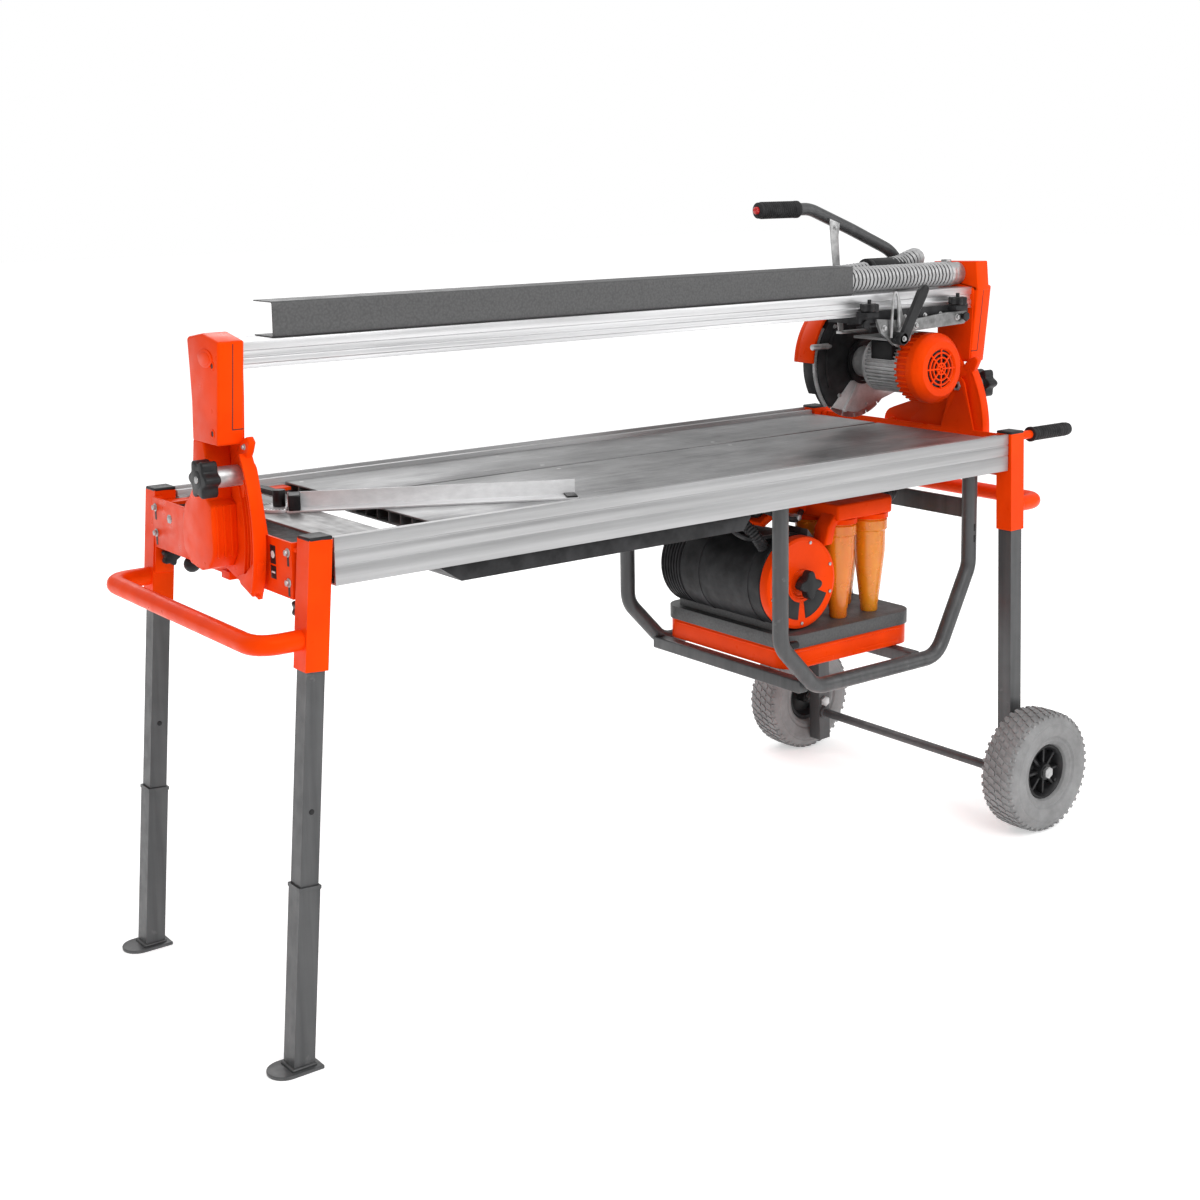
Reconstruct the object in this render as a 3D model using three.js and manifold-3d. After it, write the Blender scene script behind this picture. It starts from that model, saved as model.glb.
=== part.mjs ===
// Bridge saw for large-format tile: a folding steel stand with a long aluminium table, a tilting
// bridge rail with a travelling saw head, and a cyclone dust extractor slung in a cradle below.
// Millimetres, +Z up, X along the table, -Y towards the operator. Drawn about the middle of the
// table frame, then shifted so that the origin is on the floor under the middle of the whole saw.
import * as THREE from "three";
import { mergeVertices } from "three/addons/utils/BufferGeometryUtils.js";
import Module from "manifold-3d";

const wasm = await Module();
wasm.setup();

// ---------------------------------------------------------------- driving dimensions
const gap = 0.3;                 // clearance between pieces that touch
const frameLength = 1682;        // over the leg sleeves
const frameDepth = 624;          // over the leg sleeves
const deckHeight = 850;          // top of the side beams and sleeves
const tableTop = 838;            // working surface
const slotY = 66;                // blade slot, and the axis that the bridge tilts about
const slotWidth = 10;

const sleeve = { size: 40, wall: 2.7, length: 206 };
const leg = { size: 34, wall: 2.5, thin: 32 };
const lowerLeg = { size: 36.6, wall: 2, top: 300 };
const splay = { left: 4.5, right: 1.5 };          // degrees, feet outwards
const post = { left: -815, right: 820, y: frameDepth / 2 - sleeve.size / 2 };
const foot = { heel: 30, toe: 24, width: 60, thick: 6 };
const wheel = { radius: 130, width: 92, rim: 58, axleX: 838, axle: 8 };
const lifting = { height: 840, gripStart: 884, tip: 1006 };
const loop = { radius: 16.5, height: 694, reach: 921, bend: 48 };
const legKnob = { at: [-821, 733], shank: 6, shankLength: 14, radius: 17, length: 16 };

const beam = { left: -790, right: 797, height: 77, depth: 36 };
const slab = { left: -578, right: 792, thick: 24, topWall: 3, cell: 40 };
const trough = { left: -598, right: 84, front: -296, back: -30, top: 772.7, bottom: 742.5, sheet: 2.5 };
const plate = { face: 841, thick: 4, bottom: 751, front: -262, back: 271 };
const quadrant = { radius: 260, rim: 14, from: 149, to: 203, slotRadius: 219, slotFrom: 150.5, slotTo: 202 };
const lockAngle = 154;                          // of the lock screw about the tilt axis, in degrees
const lockScrew = { bolt: 6, nut: 11, spacer: 17, spacerEnd: 46, knob: 33, knobEnd: 76 };

const tower = { inner: 857, outer: 902, web: 8 };
const rail = { front: -150, depth: 72, bottom: 1104, top: 1148 };
const guard = { left: -795, right: 505, front: -141, depth: 66, top: 1206, sheet: 2 };
const hose = { radius: 27, y: -108, z: 1176.5, end: 838 };

const arbor = { x: 722, z: 984 };               // blade and motor axis
const blade = { radius: 127, thick: 2.4, bore: 12.7 };
const motor = { radius: 60, back: -8, front: -116, fanFront: -188, fanRadius: 75 };
const bladeGuard = { radius: 137, front: 40, back: 88, sheet: 3 };
const plungePivot = { x: 807, y: -150, z: 1089 };
const plungeArm = { y: -168, thick: 7, shelf: 1047, leverHub: [600, 1056], leverHubRadius: 13 };
const carriage = { left: 505, right: 835, wall: 8, knobHole: 4, knobZ: 1114, knobRadius: 20 };
const knobPlaces = [["left", 521], ["right", 787]];
const handle = { x: 798, y: 2, foot: 1062, bend: 1204, radius: 13 };
const grip = { left: 372, right: 484, z: 1321, radius: 18, bore: 14.2, button: 8 };

const hoop = { y: 240, left: 211, right: 756, bottom: 385, radius: 16 };
const tray = { left: 292, right: 660, front: -172, back: 214, bottom: 403, top: 446 };
const deckThick = 28;
const drum = { x: 357, z: 572, radius: 97, front: -148, back: 190, cover: 22, bolt: 8 };
const cyclonePlaces = [[490, -118], [582, -118], [490, -40], [582, -40]];
const cyclone = { tip: 17, mouth: 34, ductBottom: 688, ductTop: 722 };
const extractorMotor = { at: [268, 706], radius: 44, back: 176, fan: 30 };
const inletRadius = 22;
const tableClamp = { hub: [-806, 88], ball: [-812, 178, 730] };
const fence = { pivotX: -716, pivotY: 22, angle: -27, length: 500, height: 29, width: 42, wall: 3 };

// ---------------------------------------------------------------- finishes
const finish = (color, roughness, metalness) =>
  new THREE.MeshStandardMaterial({ color, roughness, metalness });
const orange = finish(0xf0440a, 0.4, 0.1);
const darkSteel = finish(0x54565a, 0.45, 0.4);
const hammered = finish(0x5a5b5d, 0.6, 0.3);
const aluminium = finish(0xb9bbbd, 0.4, 0.9);
const brightSteel = finish(0xd4d6d8, 0.25, 1);
const blackPlastic = finish(0x1b1c1e, 0.5, 0);
const blackPaint = finish(0x232427, 0.5, 0.2);
const greyTyre = finish(0x8e8f91, 0.9, 0);
const greyHose = finish(0xa5a5a6, 0.55, 0);
const amber = finish(0xe8750a, 0.25, 0);
const red = finish(0xb3171c, 0.35, 0);

// ---------------------------------------------------------------- shape helpers
const saw = new THREE.Group();
const radians = THREE.MathUtils.degToRad;

// One closed solid from any closed geometry, faces turned outwards.
function solid(geometry) {
  const bare = geometry.index ? geometry.toNonIndexed() : geometry.clone();
  bare.deleteAttribute("normal");
  bare.deleteAttribute("uv");
  const merged = mergeVertices(bare, 1e-3);
  const at = merged.attributes.position.array;
  const index = Array.from(merged.index.array);
  const faces = [];
  let volume = 0;
  for (let i = 0; i < index.length; i += 3) {
    const [a, b, c] = index.slice(i, i + 3);
    if (a === b || b === c || c === a) continue;
    faces.push([a, b, c]);
    const [p, q, r] = [a, b, c].map((k) => new THREE.Vector3().fromArray(at, 3 * k));
    volume += p.dot(q.cross(r));
  }
  const turned = volume < 0 ? faces.map(([a, b, c]) => [a, c, b]) : faces;
  return new wasm.Manifold(new wasm.Mesh({
    numProp: 3,
    vertProperties: Float32Array.from(at),
    triVerts: Uint32Array.from(turned.flat()),
  }));
}

const join = (...shapes) => shapes.reduce((whole, shape) => whole.add(shape));
const cut = (shape, ...tools) => tools.reduce((rest, tool) => rest.subtract(tool), shape);

function addPart(name, shape, material, at = [0, 0, 0]) {
  const { vertProperties, triVerts } = shape.getMesh();
  const geometry = new THREE.BufferGeometry();
  geometry.setAttribute("position", new THREE.BufferAttribute(vertProperties, 3));
  geometry.setIndex(new THREE.BufferAttribute(triVerts, 1));
  geometry.computeVertexNormals();
  const mesh = new THREE.Mesh(geometry, material);
  mesh.name = name;
  mesh.position.set(...at);
  saw.add(mesh);
  return mesh;
}

// A block between two corners.
function block([x0, x1], [y0, y1], [z0, z1]) {
  const box = new THREE.BoxGeometry(x1 - x0, y1 - y0, z1 - z0);
  return solid(box.translate((x0 + x1) / 2, (y0 + y1) / 2, (z0 + z1) / 2));
}

// A round bar along X, Y or Z between two places on that axis.
function bar(axis, from, to, centre, radius, sides = 20, endRadius = radius) {
  const rod = new THREE.CylinderGeometry(endRadius, radius, to - from, sides);
  rod.translate(0, (from + to) / 2, 0);
  if (axis === "x") rod.rotateZ(-Math.PI / 2).translate(0, centre[0], centre[1]);
  if (axis === "y") rod.translate(centre[0], 0, centre[1]);
  if (axis === "z") rod.rotateX(Math.PI / 2).translate(centre[0], centre[1], 0);
  return solid(rod);
}

const outline = (points) => new THREE.Shape(points.map(([u, v]) => new THREE.Vector2(u, v)));

// An outline of (y, z) points swept along X.
function sweepX(shape, x0, x1) {
  const body = new THREE.ExtrudeGeometry(shape, { depth: x1 - x0, bevelEnabled: false, curveSegments: 6 });
  const turn = new THREE.Matrix4().set(0, 0, 1, x0, 1, 0, 0, 0, 0, 1, 0, 0, 0, 0, 0, 1);
  return solid(body.applyMatrix4(turn));
}

// An outline of (x, z) points swept along Y.
function sweepY(shape, y0, y1) {
  const body = new THREE.ExtrudeGeometry(shape, { depth: y1 - y0, bevelEnabled: false, curveSegments: 6 });
  return solid(body.rotateX(Math.PI / 2).translate(0, y1, 0));
}

// An outline of (x, y) points swept along Z.
function sweepZ(shape, z0, z1) {
  const body = new THREE.ExtrudeGeometry(shape, { depth: z1 - z0, bevelEnabled: false, curveSegments: 6 });
  return solid(body.translate(0, 0, z0));
}

// A closed (radius, y) profile turned about the Y axis.
function turned(profile, segments = 32) {
  const points = profile.map(([r, y]) => new THREE.Vector2(r, y));
  return solid(new THREE.LatheGeometry(points, segments));
}

// Straight runs between the corners, with each inner corner rounded to the bend radius.
function bentRun(corners, bend, arcSteps = 5) {
  const points = corners.map((corner) => new THREE.Vector3(...corner));
  const run = [points[0]];
  for (let i = 1; i < points.length - 1; i += 1) {
    const before = points[i - 1].clone().sub(points[i]).normalize();
    const after = points[i + 1].clone().sub(points[i]).normalize();
    const half = before.angleTo(after) / 2;
    const reach = bend / Math.tan(half);
    const start = points[i].clone().addScaledVector(before, reach);
    const end = points[i].clone().addScaledVector(after, reach);
    const arc = new THREE.QuadraticBezierCurve3(start, points[i], end);
    run.push(...arc.getPoints(arcSteps));
  }
  run.push(points[points.length - 1]);
  return run;
}

// A path that steps from point to point, so that a tube has a ring at each one.
class SteppedPath extends THREE.Curve {
  constructor(points) {
    super();
    this.points = points;
  }

  getPoint(t) {
    const place = THREE.MathUtils.clamp(t, 0, 1) * (this.points.length - 1);
    const i = Math.min(Math.floor(place), this.points.length - 2);
    return this.points[i].clone().lerp(this.points[i + 1], place - i);
  }

  getPointAt(u) {
    return this.getPoint(u);
  }

  getTangentAt(u) {
    return this.getTangent(u);
  }
}

function tube(points, radius, sides = 12) {
  const ring = [];
  for (let i = 0; i < sides; i += 1) {
    const angle = (2 * Math.PI * i) / sides;
    ring.push([radius * Math.cos(angle), radius * Math.sin(angle)]);
  }
  const options = { steps: points.length - 1, extrudePath: new SteppedPath(points), bevelEnabled: false };
  return solid(new THREE.ExtrudeGeometry(outline(ring), options));
}

// Points of an arc about a centre, from one angle to another in degrees.
function arc([u, v], radius, from, to, steps) {
  const points = [];
  for (let i = 0; i <= steps; i += 1) {
    const angle = radians(from + ((to - from) * i) / steps);
    points.push([u + radius * Math.cos(angle), v + radius * Math.sin(angle)]);
  }
  return points;
}

const mirrored = (shape, normal) => shape.mirror(normal);

// A hand knob: a round hub with lobes, its axis along X, Y or Z.
function lobedKnob(axis, from, to, centre, radius, lobes) {
  const rim = [];
  const steps = lobes * 4;
  for (let i = 0; i < steps; i += 1) {
    const angle = (2 * Math.PI * i) / steps;
    const reach = radius * (0.89 + 0.11 * Math.cos(lobes * angle));
    rim.push([centre[0] + reach * Math.cos(angle), centre[1] + reach * Math.sin(angle)]);
  }
  const sweep = { x: sweepX, y: sweepY, z: sweepZ }[axis];
  return sweep(outline(rim), from, to);
}

// ---------------------------------------------------------------- stand
// The legs lean outwards, so each leg is drawn upright about its top and then tipped.
function leaning(shape, side, y) {
  const lean = side === "left" ? splay.left : -splay.right;
  return shape.rotate([0, lean, 0]).translate([post[side], y, deckHeight]);
}

function squareTube(size, wall, z0, z1) {
  const half = size / 2;
  const bore = half - wall;
  return cut(block([-half, half], [-half, half], [z0, z1]),
    block([-bore, bore], [-bore, bore], [z0 - 1, z1 + 1]));
}

function sleeveSolid(side, y) {
  return leaning(squareTube(sleeve.size, sleeve.wall, -sleeve.length, 0), side, y);
}

function sleeveBore(side, y) {
  const bore = sleeve.size / 2 - sleeve.wall;
  return leaning(block([-bore, bore], [-bore, bore], [-sleeve.length - 1, 1]), side, y);
}

function addEndFrame(side, sign) {
  const x = sign * (frameLength / 2 - 8);
  const corners = [
    [x, post.y, loop.height], [sign * loop.reach, post.y, loop.height],
    [sign * loop.reach, -post.y, loop.height], [x, -post.y, loop.height],
  ];
  const handle = tube(bentRun(corners, loop.bend, 4), loop.radius, 12);
  const bores = [sleeveBore(side, post.y), sleeveBore(side, -post.y)];
  const frame = join(cut(handle, ...bores), sleeveSolid(side, post.y), sleeveSolid(side, -post.y));
  const lift = [-post.y, post.y].map((y) => bar("x", frameLength / 2 - 4, lifting.tip, [y, lifting.height], 9, 14));
  addPart(`${side}_end_frame`, sign > 0 ? join(frame, ...lift) : frame, orange);
}

function addStand() {
  for (const [side, sign] of [["left", -1], ["right", 1]]) {
    addEndFrame(side, sign);
    for (const [place, y] of [["front", -post.y], ["rear", post.y]]) {
      const size = side === "left" ? leg.thin : leg.size;
      const end = side === "left" ? lowerLeg.top - deckHeight - 60 : 34 - deckHeight;
      addPart(`${side}_${place}_leg`, leaning(squareTube(size, leg.wall, end, -22), side, y), darkSteel);
    }
  }
  addLowerLegs();
  addLegKnobs();
  addLiftingGrips();
}

// Rubber grips on the two lifting tubes at the wheel end.
function addLiftingGrips() {
  for (const [place, y] of [["front", -post.y], ["rear", post.y]]) {
    const grip = cut(
      bar("x", lifting.gripStart, lifting.tip + 6, [y, lifting.height], 15, 18),
      bar("x", lifting.gripStart - 1, lifting.tip + gap, [y, lifting.height], 9 + gap, 14),
    );
    addPart(`${place}_lifting_grip`, grip, blackPlastic);
  }
}

// The lower half of each left leg slides up over the upper half, and ends in a welded foot plate.
function addLowerLegs() {
  for (const [place, y] of [["front", -post.y], ["rear", post.y]]) {
    const slider = squareTube(lowerLeg.size, lowerLeg.wall, -deckHeight - 10, lowerLeg.top - deckHeight);
    const upright = leaning(slider, "left", y).trimByPlane([0, 0, 1], foot.thick / 2);
    const x = post.left - Math.tan(radians(splay.left)) * deckHeight;
    const heel = x + foot.heel;
    const toe = arc([x - foot.toe, y], foot.width / 2, 90, 270, 8);
    const pad = outline([[heel, y - foot.width / 2], [heel, y + foot.width / 2], ...toe]);
    addPart(`left_${place}_lower_leg`, join(upright, sweepZ(pad, 0, foot.thick)), darkSteel);
  }
}

// Clamp screws that hold the legs in the sleeves, with a nut welded to the sleeve.
function addLegKnobs() {
  const knob = (y, inward) => {
    const start = y + inward * (sleeve.size / 2 + gap);
    const neck = start + inward * legKnob.shankLength;
    const end = neck + inward * legKnob.length;
    const shank = bar("y", Math.min(start, neck), Math.max(start, neck), legKnob.at, legKnob.shank, 12);
    const lobes = lobedKnob("y", Math.min(neck, end) - 0.01, Math.max(neck, end), legKnob.at, legKnob.radius, 5);
    return join(shank, lobes);
  };
  addPart("left_rear_leg_knob", knob(post.y, -1), blackPlastic);
  addPart("left_front_leg_knob", knob(-post.y, 1), blackPlastic);
}

// ---------------------------------------------------------------- wheels
function addWheels() {
  for (const [place, sign] of [["front", -1], ["rear", 1]]) {
    const legFace = sign * (post.y + leg.size / 2);
    const middle = legFace + sign * (6 + wheel.width / 2);
    const half = wheel.width / 2;
    const tyre = turned([
      [wheel.rim, -half + 18], [wheel.rim + 16, -half + 4], [102, -half], [122, -half + 9],
      [wheel.radius, -half + 26], [wheel.radius, half - 26], [122, half - 9], [102, half],
      [wheel.rim + 16, half - 4], [wheel.rim, half - 18], [wheel.rim, -half + 18],
    ], 30);
    addPart(`${place}_tyre`, tyre, greyTyre, [wheel.axleX, middle, wheel.radius]);
    const lip = wheel.rim - gap;
    const bore = wheel.axle + gap;
    const rim = turned([
      [bore, -32], [16, -32], [18, -6], [46, -6], [50, -28], [lip, -28],
      [lip, 28], [50, 28], [46, 6], [18, 6], [16, 32], [bore, 32], [bore, -32],
    ], 30);
    addPart(`${place}_wheel_rim`, rim, blackPaint, [wheel.axleX, middle, wheel.radius]);
    // A stub axle bolted through the leg, with its head and nut.
    const head = legFace - sign * (leg.size + 7);
    const tip = middle + sign * 40;
    const through = bar("y", Math.min(head, tip), Math.max(head, tip), [wheel.axleX, wheel.radius], wheel.axle, 16);
    const headEnd = legFace - sign * (leg.size + gap);
    const nut = bar("y", Math.min(head, headEnd), Math.max(head, headEnd), [wheel.axleX, wheel.radius], 13, 6);
    const capInner = middle + sign * (32 + gap);
    const cap = bar("y", Math.min(capInner, tip), Math.max(capInner, tip), [wheel.axleX, wheel.radius], 13, 6);
    addPart(`${place}_wheel_axle`, join(through, nut, cap), brightSteel);
  }
  const reach = post.y - leg.size / 2 - gap;
  addPart("leg_cross_bar", bar("y", -reach, reach, [wheel.axleX, 102], 10, 14), darkSteel);
}

// The stub axles pass through the two right legs.
function drillLegs() {
  for (const place of ["front", "rear"]) {
    const mesh = saw.getObjectByName(`right_${place}_leg`);
    saw.remove(mesh);
    const y = place === "front" ? -post.y : post.y;
    const hole = bar("y", y - 30, y + 30, [wheel.axleX, wheel.radius], wheel.axle + gap, 16);
    addPart(`right_${place}_leg`, cut(solid(mesh.geometry), hole), darkSteel);
  }
}

// ---------------------------------------------------------------- table
// A hollow side beam: ribbed outer face, raised double lip along the top.
function beamOutline() {
  const face = -frameDepth / 2 + 5;
  const back = face + beam.depth;
  const top = deckHeight;
  const bottom = top - beam.height;
  const shape = outline([
    [face, bottom], [back, bottom], [back, top - 14], [back - 6, top - 14], [back - 6, top - 4],
    [back - 16, top - 4], [back - 16, top - 7], [face + 5, top - 7], [face + 5, top], [face, top],
    [face, top - 20], [face + 1.2, top - 23], [face, top - 26], [face, top - 42],
    [face + 1.2, top - 45], [face, top - 48],
  ]);
  shape.holes.push(outline([
    [face + 4.5, bottom + 3], [face + 4.5, top - 18], [back - 3, top - 18], [back - 3, bottom + 3],
  ]));
  return shape;
}

function addTable() {
  const front = sweepX(beamOutline(), beam.left, beam.right);
  addPart("front_side_beam", front, aluminium);
  addPart("rear_side_beam", mirrored(front, [0, 1, 0]), aluminium);
  const edge = frameDepth / 2 - 5 - beam.depth - gap;
  addPart("front_table_slab", slabSolid(-edge, slotY - slotWidth / 2, -1), aluminium);
  addPart("rear_table_slab", slabSolid(slotY + slotWidth / 2, edge, 1), aluminium);
  addPart("dust_trough", troughSolid(), blackPaint);
}

// Sheet trough under the left half of the front slab, open at the top.
function troughSolid() {
  const { left, right, front, back, top, bottom, sheet } = trough;
  const outside = outline([[left, top], [left + 46, bottom], [right - 18, bottom], [right, top - 6.7], [right, top]]);
  const inside = outline([
    [left + 8, top + 1.3], [left + 48, bottom + sheet], [right - 20, bottom + sheet], [right - 3, top - 4.7],
    [right - 3, top + 1.3],
  ]);
  return cut(sweepY(outside, front, back), sweepY(inside, front + sheet, back - sheet));
}

// A hollow extruded slab with its edge undercut beside the blade slot, to clear a tilted blade.
function slabSolid(y0, y1, slotSide) {
  const top = tableTop;
  const bottom = top - slab.thick;
  const lean = slab.thick - 4;
  const shape = slotSide < 0
    ? outline([[y0, bottom], [y1 - lean, bottom], [y1, top - 4], [y1, top], [y0, top]])
    : outline([[y0 + lean, bottom], [y1, bottom], [y1, top], [y0, top], [y0, top - 4]]);
  const clear = y1 - y0 - 60;
  const cells = Math.round(clear / slab.cell);
  const pitch = clear / cells;
  const start = slotSide < 0 ? y0 + 6 : y1 - 6 - clear;
  const ends = [slab.left - 1, slab.right + 1];
  const tunnels = [];
  for (let i = 0; i < cells; i += 1) {
    const sides = [start + i * pitch + 1.5, start + (i + 1) * pitch - 1.5];
    tunnels.push(block(ends, sides, [bottom + 3, top - slab.topWall]));
  }
  return cut(sweepX(shape, slab.left, slab.right), ...tunnels);
}

// ---------------------------------------------------------------- end plates
const tiltAxis = [slotY, tableTop];

function lockPlace() {
  const angle = radians(lockAngle);
  return [slotY + quadrant.slotRadius * Math.cos(angle), tableTop + quadrant.slotRadius * Math.sin(angle)];
}

// A flanged plate closes each end of the table. It carries the tilt pivot, a lug for the lock screw
// and a stop bolt that the upright bridge rests on.
function endPlateSolid() {
  const back = plate.face - plate.thick;
  const place = lockPlace();
  const wall = block([-plate.face, -back], [plate.front, plate.back], [plate.bottom, tableTop + 3]);
  const flanges = [[plate.front, plate.front + 4], [plate.back - 4, plate.back]].map((depth) =>
    block([-plate.face - 0.01, -back + 14], depth, [plate.bottom, tableTop + 3]));
  const lug = sweepX(outline([[-178, tableTop], ...arc(place, 20, 170, 20, 8), [-84, tableTop]]), -plate.face, -back);
  const boss = bar("x", -tower.inner + tower.web + gap, -back, place, 14, 16);
  const lockHole = bar("x", -tower.inner, -back + 5, place, lockScrew.bolt + gap, 12);
  const studEnd = -tower.inner - 11;
  const stud = join(bar("x", studEnd, -back, tiltAxis, 8, 12),
    bar("x", studEnd, -tower.inner - gap, tiltAxis, 13, 6));
  const stop = join(block([-tower.inner, -plate.face + 0.01], [-70, -40], [plate.bottom, 764]),
    bar("z", 763, 768.6, [-850, -55], 4, 8));
  return join(cut(join(wall, ...flanges, lug, boss), lockHole), stud, stop);
}

// The left plate also has the ledges that the fence plate slides on and the shelf of the table clamp.
function leftLedges() {
  const back = plate.face - plate.thick;
  const under = tableTop - 5 - gap;
  const ledges = [[-270, -240], [240, 270]].map((depth) =>
    block([-back - 0.01, slab.left - 4], depth, [under - 6, under]));
  const shelf = cut(block([-back - 0.01, -786], [66, 110], [764.3, 770]),
    bar("z", 760, 775, tableClamp.hub, 4 + gap, 10));
  return join(...ledges, shelf);
}

// Keeps a plate clear of the leaning sleeves on either side.
function clearSleeves(side, shape) {
  const half = sleeve.size / 2 + gap;
  const room = block([-half, half], [-half, half], [-sleeve.length - 5, 5]);
  return cut(shape, leaning(room, side, -post.y), leaning(room, side, post.y));
}

function addEndPlates() {
  const left = endPlateSolid();
  addPart("left_end_plate", clearSleeves("left", join(left, leftLedges())), orange);
  addPart("right_end_plate", clearSleeves("right", mirrored(left, [1, 0, 0])), orange);
}

// ---------------------------------------------------------------- tilting bridge
// The bevel quadrant: a fan with a raised rim and an ear, cut by the curved slot for the lock screw.
function quadrantSolid() {
  const { radius, rim, from, to } = quadrant;
  const inside = -tower.inner + tower.web;
  const fan = sweepX(outline([
    [slotY - 30, tableTop - 40], [slotY - 52, tableTop + 10], [-20, 874], [-92, 943],
    ...arc(tiltAxis, radius, from, to, 10),
  ]), -tower.inner, inside);
  const band = sweepX(outline([
    ...arc(tiltAxis, radius, from, to - 3, 10), ...arc(tiltAxis, radius - 5, to - 3, from, 10),
  ]), -tower.inner - rim, inside);
  const ear = sweepX(outline([
    ...arc(tiltAxis, radius + 12, from - 1, from + 4, 2), ...arc(tiltAxis, radius - 64, from + 2, from - 4, 2),
  ]), -tower.inner - 4, inside);
  const spacerRoom = bar("x", -tower.inner - 30, -tower.inner - 0.01, lockPlace(), lockScrew.spacer + gap, 16);
  return cut(join(fan, band, ear), spacerRoom);
}

function quadrantSlot() {
  const { slotRadius, slotFrom, slotTo } = quadrant;
  return sweepX(outline([
    ...arc(tiltAxis, slotRadius + 7, slotFrom, slotTo, 9), ...arc(tiltAxis, slotRadius - 7, slotTo, slotFrom, 9),
  ]), -tower.inner - 1, -tower.inner + tower.web + 1);
}

// Each tower is an arm that hangs from the pivot on the slot line and carries one end of the rail.
function towerSolid(sign) {
  const thick = outline([
    [-50, 1150], [-56, 1153], [-108, 1161], [-166, 1150], [-160, 1095], [-147, 985], [-92, 985],
    [-100, 960], [-96, 893], [-112, 884], [-108, 800], [-92, 780], [-60, 772], [-20, 778],
    [2, 800], [6, 835], [-6, 868], [-40, 905], [-54, 985], [-57, 1050], [-54, 1100],
  ]);
  const web = outline([
    [-150, 950], [-112, 1010], [-60, 1010], [-20, 900], [66, 868], ...arc(tiltAxis, 30, 60, -60, 5),
    [40, 806], [-30, 790], [-108, 800], [-118, 884], [-140, 900],
  ]);
  const body = join(
    sweepX(thick, -tower.outer, -tower.inner),
    sweepX(web, -tower.inner - 0.01, -tower.inner + tower.web),
  );
  const pivotHole = bar("x", -tower.outer - 5, -plate.face, tiltAxis, 8 + gap, 12);
  const lockRoom = bar("x", -tower.outer - 5, -tower.inner + 0.02, lockPlace(), lockScrew.spacer + gap, 16);
  const whole = cut(join(cut(body, lockRoom), quadrantSolid()), pivotHole, quadrantSlot());
  return sign < 0 ? whole : mirrored(whole, [1, 0, 0]);
}

function addBridge() {
  addPart("left_tower", towerSolid(-1), orange);
  const bracketShape = outline([[-166, 1140], [-60, 1140], [-40, 1200], [-160, 1204]]);
  const hoseBracket = sweepX(bracketShape, tower.inner, tower.outer - 8);
  addPart("right_tower", join(towerSolid(1), hoseBracket), orange);
  addRail();
  addHoseGuard();
  addHose();
  addLockKnobs();
}

// Hollow rail with two grooves along its face and a rounded guide track on its back and underside.
function addRail() {
  const y0 = rail.front;
  const y1 = rail.front + rail.depth;
  const { bottom, top } = rail;
  const shape = outline([
    [y0, bottom], [y1, bottom], [y1, bottom + 12], [y1 - 5, bottom + 15], [y1 - 5, top - 15],
    [y1, top - 12], [y1, top], [y0, top], [y0, top - 15], [y0 + 4, top - 17], [y0 + 4, top - 26],
    [y0, top - 28], [y0, bottom + 8], [y0 + 2, bottom + 6],
  ]);
  shape.holes.push(outline([
    [y0 + 7, bottom + 4], [y0 + 7, top - 4], [y1 - 9, top - 4], [y1 - 9, bottom + 4],
  ]));
  addPart("bridge_rail", sweepX(shape, -tower.inner + gap, tower.inner - gap), aluminium);
}

// Sheet channel, open at the back, that the hose lies in as the head travels.
function addHoseGuard() {
  const { front, depth, top, sheet } = guard;
  const bottom = rail.top + gap;
  const shape = outline([
    [front, bottom], [front + depth, bottom], [front + depth, bottom + sheet], [front + sheet, bottom + sheet],
    [front + sheet, top - sheet], [front + depth, top - sheet], [front + depth, top], [front, top],
  ]);
  addPart("hose_guard", sweepX(shape, guard.left, guard.right), hammered);
}

// The hose lies in the guard, with its cuff clamped to the right tower.
function addHose() {
  const centre = [hose.y, hose.z];
  const run = bar("x", guard.left + 60, hose.end - 30, centre, hose.radius - 1, 16);
  const cuff = bar("x", hose.end - 31, tower.inner - gap, centre, hose.radius, 16);
  addPart("rail_hose", join(run, cuff), greyHose);
}

// Lock screws: a bright spacer and bolt through the tower, and a lobed knob outside.
function addLockKnobs() {
  const centre = lockPlace();
  const face = -tower.inner;
  const inside = -plate.face + plate.thick;
  const bolt = bar("x", face - lockScrew.knobEnd + 2, inside + 4, centre, lockScrew.bolt, 12);
  const spacer = bar("x", face - lockScrew.spacerEnd, face - gap, centre, lockScrew.spacer, 16);
  const knob = lobedKnob("x", face - lockScrew.knobEnd, face - lockScrew.spacerEnd + 0.1, centre, lockScrew.knob, 6);
  const nut = bar("x", inside + gap, inside + 4, centre, lockScrew.nut, 6);
  const left = join(bolt, spacer, knob, nut);
  addPart("left_bevel_lock", left, blackPlastic);
  addPart("right_bevel_lock", mirrored(left, [1, 0, 0]), blackPlastic);
}

// ---------------------------------------------------------------- saw head
function addHead() {
  addCarriage();
  addPlungeArm();
  addMotor();
  addBlade();
  addHeadHandle();
}

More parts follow.
